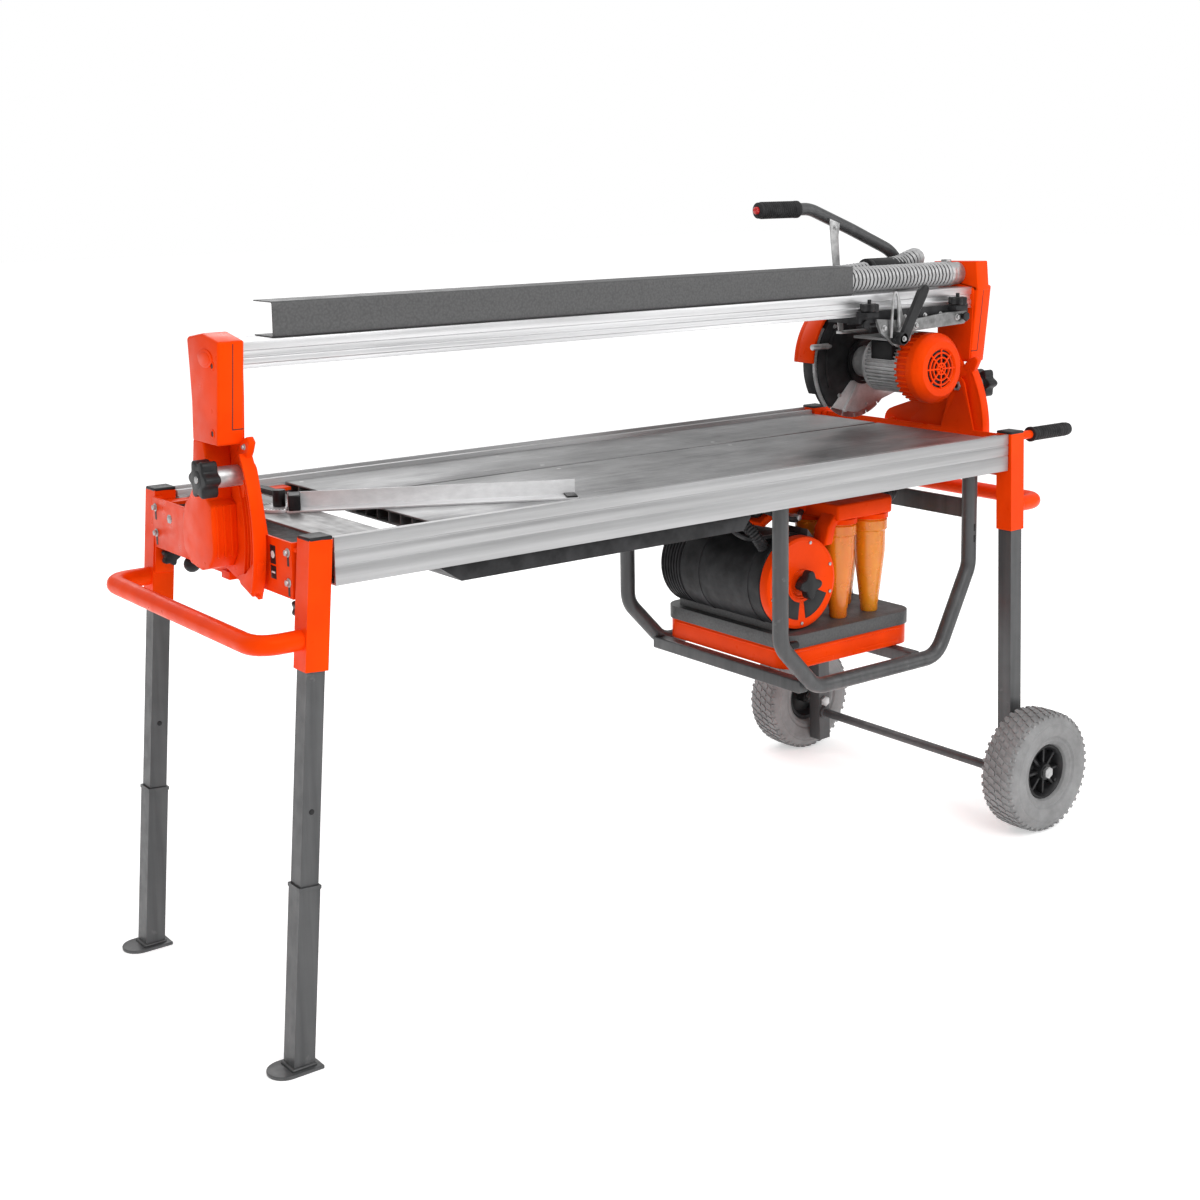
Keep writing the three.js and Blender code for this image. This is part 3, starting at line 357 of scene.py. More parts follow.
def amberPlastic():
    kit = newMaterial("amber_plastic")
    tone = addTones(kit, addNoise(kit, 12, 4, (1, 1, 0.3)), (0.85, 0.2, 0.006), (0.98, 0.36, 0.012))
    setShader(kit, tone, addRange(kit, addNoise(kit, 50, 4), 0.18, 0.32), 0.0, 0.3)
    kit["shader"].inputs["Subsurface Weight"].default_value = 0.25
    kit["shader"].inputs["Subsurface Scale"].default_value = 0.01
    kit["shader"].inputs["Transmission Weight"].default_value = 0.2
    return kit["material"]


def redPlastic():
    kit = newMaterial("red_button_plastic")
    tone = addTones(kit, addNoise(kit, 90), (0.5, 0.006, 0.006), (0.68, 0.012, 0.01))
    setShader(kit, tone, addRange(kit, addNoise(kit, 90), 0.2, 0.32), 0.0, 0.4)
    return kit["material"]


def paleLabel():
    kit = newMaterial("plain_label")
    tone = addTones(kit, addNoise(kit, 120), (0.72, 0.72, 0.7), (0.82, 0.82, 0.8))
    setShader(kit, tone, addRange(kit, addNoise(kit, 60), 0.35, 0.5))
    return kit["material"]


print("scene: making materials")
paints = {
    "orange": (orangeEnamel(), "orange_paint"),
    "grey": (greyPaint(), "grey_paint"),
    "hammered": (hammeredPaint(), "hammered_paint"),
    "black": (blackPaint(), "black_paint"),
    "plastic": (blackPlastic(), "black_plastic"),
    "rubber": (gripRubber(), "grip_rubber"),
    "table": (tableMetal(), "table_aluminium"),
    "rail": (railMetal(), "rail_aluminium"),
    "beam": (railMetal("beam_aluminium", 0.34, 0.46, 0.6), "rail_aluminium"),
    "fence": (railMetal("fence_aluminium", 0.6, 0.72, 0.45), "rail_aluminium"),
    "cast": (castMetal(), "rail_aluminium"),
    "steel": (brightSteel(), "steel"),
    "dullSteel": (brightSteel("brushed_plate_steel", 0.16, 0.28), "steel"),
    "tyre": (tyreRubber(), "tyre"),
    "greyHose": (greyHose(), "hose_grey"),
    "blackHoseAndGrooveShade": (blackHoseAndGrooveShade(), "hose_black"),
    "amber": (amberPlastic(), "amber"),
    "red": (redPlastic(), "red"),
    "label": (paleLabel(), "black_plastic"),
}


# Shared ways of making a piece
mergeDistance = 0.00002  # metres between points that are taken as one
flatAngle = 1.5  # degrees between faces of a CAD node that are taken as one


def deselectAll():
    if bpy.context.object and bpy.context.object.mode != "OBJECT":
        bpy.ops.object.mode_set(mode="OBJECT")
    bpy.ops.object.select_all(action="DESELECT")


def pick(piece):
    deselectAll()
    piece.select_set(True)
    bpy.context.view_layer.objects.active = piece


def applyPlace(piece):
    pick(piece)
    bpy.ops.object.transform_apply(location=True, rotation=True, scale=True)


def applyModifiers(piece):
    pick(piece)
    for modifier in list(piece.modifiers):
        bpy.ops.object.modifier_apply(modifier=modifier.name)


def outwardNormals(piece):
    pick(piece)
    bpy.ops.object.mode_set(mode="EDIT")
    bpy.ops.mesh.select_all(action="SELECT")
    bpy.ops.mesh.remove_doubles(threshold=mergeDistance)
    bpy.ops.mesh.normals_make_consistent(inside=False)
    bpy.ops.object.mode_set(mode="OBJECT")


def bevelEdges(piece, width, segments=2, angle=32):
    bevel = piece.modifiers.new("edge_round", "BEVEL")
    bevel.width = width / 1000
    bevel.segments = segments
    bevel.limit_method = "ANGLE"
    bevel.angle_limit = math.radians(angle)
    applyModifiers(piece)


def smoothPiece(piece, angle=34):
    pick(piece)
    bpy.ops.object.shade_smooth_by_angle(angle=math.radians(angle))


# Names a finished piece, paints it and lets it ride on its body
def finishPiece(piece, name, body, paint, stands=(), smooth=34):
    smoothPiece(piece, smooth)
    piece.name = name
    piece.data.name = name
    piece.data.materials.clear()
    piece.data.materials.append(paints[paint][0])
    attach(piece, body)
    if stands:
        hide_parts(*stands)
    return piece


def joinPieces(pieces):
    deselectAll()
    for piece in pieces:
        piece.select_set(True)
    bpy.context.view_layer.objects.active = pieces[0]
    if len(pieces) > 1:
        bpy.ops.object.join()
    return pieces[0]


# A turn by an angle about a line through a point
def turnAbout(point, angle, axis):
    return Matrix.Translation(point) @ Matrix.Rotation(angle, 4, axis) @ Matrix.Translation(-point)


# Many moved copies of small pieces in one mesh
def scatterCopies(name, copies):
    mesh = bmesh.new()
    for piece, move in copies:
        start = len(mesh.verts)
        mesh.from_mesh(piece.data)
        mesh.verts.ensure_lookup_table()
        bmesh.ops.transform(mesh, matrix=move, verts=mesh.verts[start:])
    data = bpy.data.meshes.new(name)
    mesh.to_mesh(data)
    mesh.free()
    whole = bpy.data.objects.new(name, data)
    bpy.context.collection.objects.link(whole)
    return whole


# Copies of a piece turned about a hub, from a first angle by equal steps; they take the piece's place
def turnedCopies(piece, axis, hub, start, step, count):
    turned = [(piece, turnAbout(hub, math.radians(start + step * i), axis)) for i in range(count)]
    whole = scatterCopies(piece.name, turned)
    bpy.data.objects.remove(piece)
    return whole


# Cuts a tool out of a piece and removes the tool
def cutWith(piece, tool):
    cut = piece.modifiers.new("cut", "BOOLEAN")
    cut.operation = "DIFFERENCE"
    cut.object = tool
    cut.solver = "EXACT"
    applyModifiers(piece)
    bpy.data.objects.remove(tool)
    return piece


# A block between two corners with rounded edges
def blockPiece(x, y, z, edge=1.0, segments=2):
    bpy.ops.mesh.primitive_cube_add(size=1)
    piece = bpy.context.object
    piece.scale = ((x[1] - x[0]) / 1000, (y[1] - y[0]) / 1000, (z[1] - z[0]) / 1000)
    piece.location = place((x[0] + x[1]) / 2, (y[0] + y[1]) / 2, (z[0] + z[1]) / 2)
    applyPlace(piece)
    if edge:
        bevelEdges(piece, edge, segments)
    return piece


turns = {"x": (0, math.pi / 2, 0), "y": (-math.pi / 2, 0, 0), "z": (0, 0, 0)}
axes = {"x": (1, 0, 0), "y": (0, 1, 0), "z": (0, 0, 1)}


# Where a point (u, v) of an outline and a depth w lie for an outline seen along an axis
def outlinePlace(axis, u, v, w):
    if axis == "x":
        return place(w, u, v)
    if axis == "y":
        return place(u, w, v)
    return place(u, v, w)


# A round bar with rounded ends
def barPiece(axis, start, end, centre, radius, sides=32, edge=0.6):
    middle = outlinePlace(axis, centre[0], centre[1], (start + end) / 2)
    bpy.ops.mesh.primitive_cylinder_add(vertices=sides, radius=radius / 1000, depth=abs(end - start) / 1000,
                                        location=middle, rotation=turns[axis])
    piece = bpy.context.object
    applyPlace(piece)
    if edge:
        bevelEdges(piece, edge, 2, 50)
    return piece


# Walks a single vertex along the points, leaving a chain of edges
def drawChain(points):
    bpy.ops.mesh.primitive_plane_add(size=0.01)
    piece = bpy.context.object
    bpy.ops.object.mode_set(mode="EDIT")
    bpy.ops.mesh.select_all(action="SELECT")
    bpy.ops.mesh.merge(type="CENTER")
    bpy.ops.transform.translate(value=points[0])
    for before, after in zip(points, points[1:]):
        bpy.ops.mesh.extrude_vertices_move(TRANSFORM_OT_translate={"value": after - before})
    return piece


# An outline filled and pushed through from one depth to another
def outlinePiece(axis, points, start, end, edge=1.0, segments=2, angle=32):
    piece = drawChain([outlinePlace(axis, u, v, start) for u, v in points])
    bpy.ops.mesh.select_all(action="SELECT")
    bpy.ops.mesh.edge_face_add()
    push = outlinePlace(axis, 0, 0, end) - outlinePlace(axis, 0, 0, start)
    bpy.ops.mesh.extrude_region_move(TRANSFORM_OT_translate={"value": push})
    bpy.ops.object.mode_set(mode="OBJECT")
    outwardNormals(piece)
    if edge:
        bevelEdges(piece, edge, segments, angle)
    return piece


# A profile of (radius, along) points turned about an axis
def turnedPiece(axis, profile, centre, steps=48):
    piece = drawChain([outlinePlace(axis, centre[0] + r, centre[1], along) for r, along in profile])
    bpy.ops.mesh.select_all(action="SELECT")
    bpy.ops.mesh.spin(steps=steps, angle=2 * math.pi, center=outlinePlace(axis, centre[0], centre[1], 0),
                      axis=axes[axis])
    bpy.ops.object.mode_set(mode="OBJECT")
    outwardNormals(piece)
    return piece


# Straight runs between corners, each corner rounded to the bend radius
def roundedRun(corners, bend, steps=8):
    points = [Vector(corner) for corner in corners]
    run = [points[0]]
    for before, here, after in zip(points, points[1:], points[2:]):
        back = (before - here).normalized()
        ahead = (after - here).normalized()
        reach = bend / math.tan(back.angle(ahead) / 2)
        reach = min(reach, (before - here).length * 0.49, (after - here).length * 0.49)
        first = here + back * reach
        last = here + ahead * reach
        for i in range(steps + 1):
            t = i / steps
            run.append(first.lerp(here, t).lerp(here.lerp(last, t), t))
    run.append(points[-1])
    return run


# A soft curve through the points
def softRun(points, steps=10):
    points = [Vector(point) for point in points]
    ends = [points[0] * 2 - points[1]] + points + [points[-1] * 2 - points[-2]]
    run = []
    for a, b, c, d in zip(ends, ends[1:], ends[2:], ends[3:]):
        for i in range(steps):
            t = i / steps
            run.append(0.5 * ((2 * b) + (c - a) * t + (2 * a - 5 * b + 4 * c - d) * t * t
                              + (3 * b - a - 3 * c + d) * t * t * t))
    run.append(points[-1])
    return run


# A round tube along the points; widths scale its radius point by point
def tubePiece(points, radius, sides=24, widths=None):
    bpy.ops.curve.primitive_nurbs_path_add()
    piece = bpy.context.object
    piece.location = (0, 0, 0)
    curve = piece.data
    curve.splines.clear()
    line = curve.splines.new("POLY")
    line.points.add(len(points) - 1)
    for i, point in enumerate(points):
        line.points[i].co = (*place(*point), 1)
        line.points[i].radius = widths[i] if widths else 1.0
    curve.dimensions = "3D"
    curve.bevel_depth = radius / 1000
    curve.bevel_resolution = max(1, sides // 4 - 1)
    curve.use_fill_caps = True
    pick(piece)
    bpy.ops.object.convert(target="MESH")
    return bpy.context.object


# Points evenly spaced along a run
def evenRun(points, spacing):
    points = [Vector(point) for point in points]
    even, left = [points[0]], spacing
    for before, after in zip(points, points[1:]):
        length = (after - before).length
        while length > 0 and left <= length:
            even.append(before.lerp(after, left / length))
            left += spacing
        left -= length
    return even


# Corrugated hose: the radius swells at every rib
def ribbedHose(points, radius, pitch, depth, sides=20):
    run = evenRun(points, pitch / 5)
    swell = [1, 1, 1 - depth * 0.6, 1 - depth, 1 - depth * 0.6]
    return tubePiece(run, radius, sides, [swell[i % 5] for i in range(len(run))])


# Dark lining inside the hose that shows between the ribs, as painted shade in the grooves
def hoseGrooveShade(points, radius, depth, sides=20):
    return tubePiece(evenRun(points, 12), radius * (1 - depth * 0.6), sides)


def arcPoints(centre, radius, start, end, steps):
    return [(centre[0] + radius * math.cos(math.radians(start + (end - start) * i / steps)),
             centre[1] + radius * math.sin(math.radians(start + (end - start) * i / steps)))
            for i in range(steps + 1)]


# Outline of a band between two radii
def arcBand(centre, outer, inner, start, end, steps):
    return arcPoints(centre, outer, start, end, steps) + arcPoints(centre, inner, end, start, steps)


# Rim of a finned or toothed round; each step is a part of the pitch and the radius there
def toothedRim(centre, count, steps):
    rim = []
    for i in range(count):
        for part, reach in steps:
            angle = 2 * math.pi * (i + part) / count
            rim.append((centre[0] + reach * math.cos(angle), centre[1] + reach * math.sin(angle)))
    return rim


# Welded or moulded ring that lies in a face across X
def smallRing(x, y, z, radius, thickness, steps):
    bpy.ops.mesh.primitive_torus_add(major_radius=radius / 1000, minor_radius=thickness / 1000,
                                     major_segments=steps, minor_segments=8, rotation=turns["x"],
                                     location=place(x, y, z))
    ring = bpy.context.object
    applyPlace(ring)
    return ring


# Hand knob with rounded lobes
def lobedKnob(axis, start, end, centre, radius, lobes, waist=0.14):
    steps = lobes * 12
    rim = []
    for i in range(steps):
        angle = 2 * math.pi * i / steps
        reach = radius * (1 - waist + waist * math.cos(lobes * angle))
        rim.append((centre[0] + reach * math.cos(angle), centre[1] + reach * math.sin(angle)))
    return outlinePiece(axis, rim, start, end, min(3.0, abs(end - start) * 0.2), 3, 50)


# Hexagon bolt head on a washer, proud of a face
def hexBolt(axis, face, centre, size, outward=1, washer=True):
    parts = []
    base = face
    if washer:
        parts.append(barPiece(axis, face, face + outward * size * 0.22, centre, size * 1.15, 24,
                              size * 0.08))
        base = face + outward * size * 0.2
    parts.append(barPiece(axis, base, base + outward * size * 0.75, centre, size * 0.82, 6, size * 0.1))
    return joinPieces(parts)


# A rounded copy of a CAD node, which it stands for
def softCopy(node, body, paint, edge=0.8, smooth=34, name=None, angle=40):
    pick(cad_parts[node])
    bpy.ops.object.duplicate(linked=False)
    piece = bpy.context.object
    world = piece.matrix_world.copy()
    piece.parent = None
    piece.matrix_world = world
    for key in [key for key in piece.keys() if key.startswith("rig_")]:
        del piece[key]
    applyPlace(piece)
    bpy.ops.object.mode_set(mode="EDIT")
    bpy.ops.mesh.select_all(action="SELECT")
    bpy.ops.mesh.remove_doubles(threshold=mergeDistance)
    bpy.ops.mesh.dissolve_limited(angle_limit=math.radians(flatAngle))
    bpy.ops.object.mode_set(mode="OBJECT")
    if edge:
        bevelEdges(piece, edge, 2, angle)
    return finishPiece(piece, name or node + "_finished", body, paint, (node,), smooth)


# Stand
standSettings = {"deck": 850, "postY": 292, "sleeve": 40, "sleeveWall": 2.7, "sleeveLength": 206,
                 "corner": 4, "leftX": -815, "rightX": 820, "leftLean": 4.5, "rightLean": -1.5}
ends = {"left": -1, "right": 1}
sides = {"front": -1, "rear": 1}


# Two distances from the middle as a span along X on one side
def sideSpan(side, a, b):
    return sorted((ends[side] * a, ends[side] * b))


# Tips a piece drawn upright about the top of a post
def leanPiece(piece, side):
    lean = standSettings[side + "Lean"]
    top = place(standSettings[side + "X"], 0, standSettings["deck"])
    piece.data.transform(turnAbout(top, math.radians(lean), "Y"))
    return piece


# Square tube with rounded corners and an open bore, as high above the deck as the two heights say
def squareTube(side, front, size, wall, low, high):
    s = standSettings
    x, y = s[side + "X"], front * s["postY"]
    piece = blockPiece((x - size / 2, x + size / 2), (y - size / 2, y + size / 2),
                       (s["deck"] + low, s["deck"] + high), 0)
    pick(piece)
    bpy.ops.object.mode_set(mode="EDIT")
    mesh = bmesh.from_edit_mesh(piece.data)
    for face in mesh.faces:
        face.select_set(abs(face.normal.z) > 0.9)
    bmesh.update_edit_mesh(piece.data)
    bpy.ops.mesh.delete(type="ONLY_FACE")
    mesh = bmesh.from_edit_mesh(piece.data)
    for edge in mesh.edges:
        edge.select_set(abs(edge.verts[0].co.z - edge.verts[1].co.z) > 0.001)
    bmesh.update_edit_mesh(piece.data)
    bpy.ops.mesh.bevel(offset=s["corner"] / 1000, segments=4)
    bpy.ops.object.mode_set(mode="OBJECT")
    outwardNormals(piece)
    shell = piece.modifiers.new("wall", "SOLIDIFY")
    shell.thickness = wall / 1000
    shell.offset = -1
    applyModifiers(piece)
    return leanPiece(piece, side)


loopSettings = {"radius": 16.5, "height": 694, "reach": 921, "bend": 52,
                "start": {"left": 832, "right": 838}, "weld": 2.5, "liftHeight": 840, "liftStart": 837,
                "liftTip": 1006, "liftRadius": 9}
capSettings = {"half": 20.5, "low": 848.5, "high": 855, "plug": 16.5, "plugLow": 836, "plugHigh": 850}


# Welded frame at each end: two sleeves and a carrying loop, with a weld bead where they meet
def makeEndFrame(side):
    s, l = standSettings, loopSettings
    sign = ends[side]
    parts = [squareTube(side, front, s["sleeve"], s["sleeveWall"], -s["sleeveLength"], 0)
             for front in (-1, 1)]
    start = sign * l["start"][side]
    loop = roundedRun([(start, s["postY"], l["height"]), (sign * l["reach"], s["postY"], l["height"]),
                       (sign * l["reach"], -s["postY"], l["height"]), (start, -s["postY"], l["height"])],
                       l["bend"])
    parts.append(tubePiece(loop, l["radius"], 28))
    for front in (-1, 1):
        parts.append(smallRing(start + sign * 9, front * s["postY"], l["height"], l["radius"], l["weld"],
                               28))
        if side == "right":
            parts.append(barPiece("x", l["liftStart"], l["liftTip"], (front * s["postY"], l["liftHeight"]),
                                  l["liftRadius"], 24))
    if side == "left":
        # Tabs that the leg screws are welded to
        for front in (-1, 1):
            inside = sorted((front * (s["postY"] - 26), front * (s["postY"] - 19)))
            parts.append(leanPiece(blockPiece((-833, -797), inside, (702, 766), 2), side))
    finishPiece(joinPieces(parts), side + "_frame_welded", "stand", "orange", (side + "_end_frame",))


# Plastic cap with its plug on top of each sleeve
def makeSleeveCaps(side):
    caps, c = [], capSettings
    for front in (-1, 1):
        x, y = standSettings[side + "X"], front * standSettings["postY"]
        for half, low, high, edge, segments in ((c["half"], c["low"], c["high"], 3, 3),
                                                (c["plug"], c["plugLow"], c["plugHigh"], 1, 2)):
            caps.append(blockPiece((x - half, x + half), (y - half, y + half), (low, high), edge, segments))
    finishPiece(joinPieces(caps), side + "_sleeve_caps", "stand", "plastic")


legSettings = {"left": {"size": 32, "end": -610}, "right": {"size": 34, "end": -816}}
legWall, legTop = 2.5, -22
pinSettings = {"z": 420, "radius": 4.5}


def makeLegs():
    for side in ends:
        for where, front in sides.items():
            leg = legSettings[side]
            name = side + "_" + where + "_leg"
            tube = squareTube(side, front, leg["size"], legWall, leg["end"], legTop)
            finishPiece(tube, name + "_tube", "stand", "grey", (name,))
            if side == "left":
                # Spring pin of the telescopic leg, in its drilled hole
                x, y = standSettings["leftX"], front * standSettings["postY"]
                face = y - leg["size"] / 2
                pin = barPiece("y", face - 0.8, face + 4, (x, pinSettings["z"]), pinSettings["radius"], 20,
                               0.4)
                finishPiece(leanPiece(pin, side), name + "_pin", "stand", "plastic")


footSettings = {"size": 36.6, "wall": 2, "top": -550, "heel": 30, "toe": 24, "width": 60, "thick": 6}


# Sliding lower leg with its foot plate and weld
def makeLowerLegs():
    f, s = footSettings, standSettings
    for where, front in sides.items():
        y = front * s["postY"]
        x = s["leftX"] - math.tan(math.radians(s["leftLean"])) * s["deck"]
        tube = squareTube("left", front, f["size"], f["wall"], -s["deck"] + 4, f["top"])
        toe = arcPoints((x - f["toe"], y), f["width"] / 2, 90, 270, 20)
        outline = [(x + f["heel"], y - f["width"] / 2), (x + f["heel"], y + f["width"] / 2)] + toe
        plate = outlinePiece("z", outline, 0, f["thick"], 1.4, 3)
        collar = squareTube("left", front, f["size"] + 2.4, 1.2, f["top"] - 6, f["top"])
        weld = blockPiece((x - 22, x + 22), (y - 22, y + 22), (f["thick"] - 1, f["thick"] + 4), 3, 3)
        name = "left_" + where + "_lower_leg"
        finishPiece(joinPieces([tube, plate, collar, weld]), name + "_tube", "left_" + where + "_foot",
                    "grey", (name,))


legKnobSettings = {"spot": (-821, 733), "y": 272, "stem": 6, "nut": 10, "radius": 17, "lobes": 5}


# Clamp screw of each sliding leg: a stem, a nut against the sleeve and a lobed knob
def makeLegKnobs():
    k = legKnobSettings
    for where, front in sides.items():
        def inward(distance):
            return front * (k["y"] - distance)
        parts = [barPiece("y", inward(0.5), inward(15), k["spot"], k["stem"], 20),
                 barPiece("y", inward(0.5), inward(6), k["spot"], k["nut"], 6),
                 lobedKnob("y", *sorted((inward(14), inward(30))), k["spot"], k["radius"], k["lobes"])]
        node = "left_" + where + "_leg_knob"
        finishPiece(joinPieces(parts), node + "_moulded", "left_" + where + "_leg_screw", "plastic", (node,))


gripSettings = {"start": 884, "tip": 1012, "height": 840, "radius": 14.2, "ribs": 13}


# Lifting grip: a flange, closed end and raised rings
def makeLiftingGrips():
    g = gripSettings
    for where, front in sides.items():
        profile = [(9.5, g["start"]), (16, g["start"]), (16, g["start"] + 5),
                   (g["radius"] - 0.4, g["start"] + 7)]
        pitch = (g["tip"] - g["start"] - 26) / g["ribs"]
        for i in range(g["ribs"]):
            at = g["start"] + 12 + i * pitch
            profile += [(g["radius"] - 1.2, at), (g["radius"] + 0.6, at + pitch * 0.3),
                        (g["radius"] + 0.6, at + pitch * 0.65), (g["radius"] - 1.2, at + pitch * 0.95)]
        profile += [(g["radius"], g["tip"] - 9), (g["radius"] - 1.5, g["tip"] - 3),
                    (g["radius"] - 5, g["tip"] - 0.5), (0, g["tip"])]
        grip = turnedPiece("x", profile, (front * standSettings["postY"], g["height"]), 32)
        node = where + "_lifting_grip"
        finishPiece(grip, node + "_ribbed", "stand", "rubber", (node,))


# Wheels
wheelSettings = {"x": 838, "radius": 130, "width": 92, "rim": 58, "y": 361, "lugs": 44,
                 "rows": (-25, -8.5, 8.5, 25), "spokes": 8}
crossBarSettings = {"spot": (838, 102), "half": 274.5, "radius": 10, "flange": 14}


# A turn about a wheel's own axle
def wheelTurn(front, angle):
    w = wheelSettings
    return turnAbout(place(w["x"], front * w["y"], w["radius"]), angle, "Y")


def makeTyre(where, front):
    w = wheelSettings
    centre = (w["x"], w["radius"])
    middle = front * w["y"]
    half = w["width"] / 2
    section = [(w["rim"], -half + 19), (w["rim"] + 4, -half + 11), (w["rim"] + 12, -half + 6),
               (w["rim"] + 18, -half + 6.5),
               (w["rim"] + 22, -half + 3), (94, -half + 0.5), (103, -half), (106, -half + 1.6),
               (109, -half + 1.2), (117, -half + 5), (123, -half + 11), (126.5, -half + 19),
               (127.2, -half + 30), (127.5, 0)]
    profile = [(r, middle + along) for r, along in section]
    profile += [(r, middle - along) for r, along in reversed(section[:-1])]
    parts = [turnedPiece("y", profile + [profile[0]], centre, 72)]
    # Zig-zag tread lugs in rows around the tyre, and buttress ribs on its shoulders
    bent = [(-7.6, -6.8), (1.2, -6.8), (5.2, 0), (7.6, 6.8), (-1.2, 6.8), (-5.2, 0)]
    lug = outlinePiece("z", [(w["x"] + x, middle + y) for x, y in bent], w["radius"] + 125.5,
                       w["radius"] + 129.8, 0)
    shoulder = blockPiece((w["x"] - 3.4, w["x"] + 3.4), (middle + half - 21, middle + half - 7),
                          (w["radius"] + 119, w["radius"] + 125.2), 0)
    lugs = []
    for i in range(w["lugs"]):
        for row, across in enumerate(w["rows"]):
            spin = wheelTurn(front, 2 * math.pi * (i + 0.5 * (row % 2)) / w["lugs"])
            shift = Matrix.Translation((0, across / 1000, 0))
            drop = Matrix.Translation((0, 0, -0.0012 if abs(across) > 20 else 0))
            lugs.append((lug, spin @ shift @ drop))
        spin = wheelTurn(front, 2 * math.pi * i / w["lugs"])
        lugs.append((shoulder, spin))
        lugs.append((shoulder, spin @ Matrix.Translation((0, -(w["width"] - 28) / 1000, 0))))
    parts.append(scatterCopies("tread_lugs", lugs))
    for spare in (lug, shoulder):
        bpy.data.objects.remove(spare)
    finishPiece(joinPieces(parts), where + "_tyre_treaded", where + "_wheel", "tyre", (where + "_tyre",), 30)


def makeRim(where, front):
    w = wheelSettings
    centre = (w["x"], w["radius"])
    middle = front * w["y"]
    def along(value):
        return middle + front * value
    lip = w["rim"] - 0.5
    dish = [(8.6, along(-32)), (17, along(-32)), (18, along(-8)), (44, along(-6)), (50, along(-27)),
            (lip, along(-30)), (lip, along(30)), (54, along(31)), (50.5, along(27)), (46, along(9)),
            (26, along(7)), (20, along(12)), (17, along(31)), (8.6, along(32)), (8.6, along(-32))]
    parts = [turnedPiece("y", dish, centre, 48)]
    spoke = blockPiece((w["x"] - 3, w["x"] + 3), sorted((along(5), along(24))),
                       (w["radius"] + 16, w["radius"] + 49), 1)
    parts.append(turnedCopies(spoke, "Y", place(w["x"], middle, w["radius"]), 0, 360 / w["spokes"],
                              w["spokes"]))
    # Air valve
    parts.append(barPiece("y", along(8), along(28), (w["x"] + 36, w["radius"] - 26), 3.4, 16))
    finishPiece(joinPieces(parts), where + "_rim_spoked", where + "_wheel", "plastic",
                (where + "_wheel_rim",))


def makeWheels():
    for where, front in sides.items():
        makeTyre(where, front)
        makeRim(where, front)
        softCopy(where + "_wheel_axle", "stand", "steel", 0.6)


def makeCrossBar():
    c = crossBarSettings
    parts = [barPiece("y", -c["half"], c["half"], c["spot"], c["radius"], 28)]
    for front in (-1, 1):
        parts.append(barPiece("y", front * (c["half"] - 6.5), front * (c["half"] + 0.1), c["spot"],
                              c["flange"], 28, 1))
    finishPiece(joinPieces(parts), "leg_cross_bar_welded", "stand", "grey", ("leg_cross_bar",))


# Table
tableSettings = {"screwX": (-555, -110, 330, 740), "screwY": (-250, 40, 95, 250), "screwTop": 838.15,
                 "screw": 4.6, "profileY": (-232, 232), "profiles": (((-832, -806), (790, 822)),
                                                                     ((-803, -794), (790, 806))),
                 "ridgeX": (-788, 795), "ridgeY": (-306.6, -305), "ridges": ((826, 828), (801, 802.4))}


def makeTable():
    t = tableSettings
    for node, paint in (("side_beam", "beam"), ("table_slab", "table")):
        for where in sides:
            softCopy(where + "_" + node, "stand", paint, 0.5)
    softCopy("dust_trough", "stand", "black", 0.8)
    # Black sheet under the open left end, standing in for the shade seen through the opening (painted
    # shade), and ribbed cross profile
    sheet = blockPiece((-833, -606), (-266, 266), (773.5, 775), 0.3)
    finishPiece(sheet, "left_end_shade_sheet", "stand", "black")
    profile = [blockPiece(x, t["profileY"], z, 1.5) for x, z in t["profiles"]]
    finishPiece(joinPieces(profile), "left_cross_profile", "stand", "beam")
    # Countersunk screws along the slabs, and fine ridges along the front beam
    screws = [barPiece("z", t["screwTop"] - 0.95, t["screwTop"], (x, y), t["screw"], 20, 0.1)
              for x in t["screwX"] for y in t["screwY"]]
    finishPiece(joinPieces(screws), "table_screws", "stand", "steel")
    ridges = [blockPiece(t["ridgeX"], t["ridgeY"], z, 0.4) for z in t["ridges"]]
    finishPiece(joinPieces(ridges), "front_beam_ridges", "stand", "beam")


plateSettings = {"face": 841, "bolts": ((-250, 824), (-250, 776), (258, 824), (258, 778)), "bolt": 6.5,
                 "labelY": (-208, -190), "labels": ((798, 828), (774, 795)), "dot": (-199, 813)}


# Bolts through each end plate into the beams, some in upright slots
def makeEndPlates():
    p = plateSettings
    for side, sign in ends.items():
        softCopy(side + "_end_plate", "stand", "orange", 0.9, angle=50)
        bolts, slots = [], []
        for y, z in p["bolts"]:
            bolts.append(hexBolt("x", sign * p["face"], (y, z), p["bolt"], sign))
            slots.append(blockPiece(sideSpan(side, p["face"] - 0.3, p["face"] + 0.25), (y - 3.4, y + 3.4),
                                    (z - 22, z + 2), 0))
        finishPiece(joinPieces(bolts), side + "_plate_bolts", "stand", "steel")
        finishPiece(joinPieces(slots), side + "_plate_slots", "stand", "plastic")
        label = [blockPiece(sideSpan(side, p["face"], p["face"] + 0.5), p["labelY"], z, 0.2)
                 for z in p["labels"]]
        finishPiece(joinPieces(label), side + "_plate_label", "stand", "plastic")
        proud = sideSpan(side, p["face"] + 0.3, p["face"] + 0.8)
        signs = [barPiece("x", *proud, p["dot"], 6, 24, 0), blockPiece(proud, (-205, -193), (783, 786), 0)]
        finishPiece(joinPieces(signs), side + "_plate_sign", "stand", "label")


# Bridge
towerSettings = {"inner": 857, "outer": 902, "web": 8, "pivot": (66, 838), "fan": 260, "rim": 14,
                 "fanStart": 149, "fanEnd": 203, "slot": 219, "slotHalf": 7, "ribs": (10, 22, 34),
                 "recesses": ((-142, 1112), (-132, 1004)), "badge": (-118, 1122)}


# An outline in the plane of a tower, between two distances from the middle of the saw
def towerPlate(side, points, a, b, edge, segments=2, angle=32):
    return outlinePiece("x", points, *sideSpan(side, a, b), edge, segments, angle)


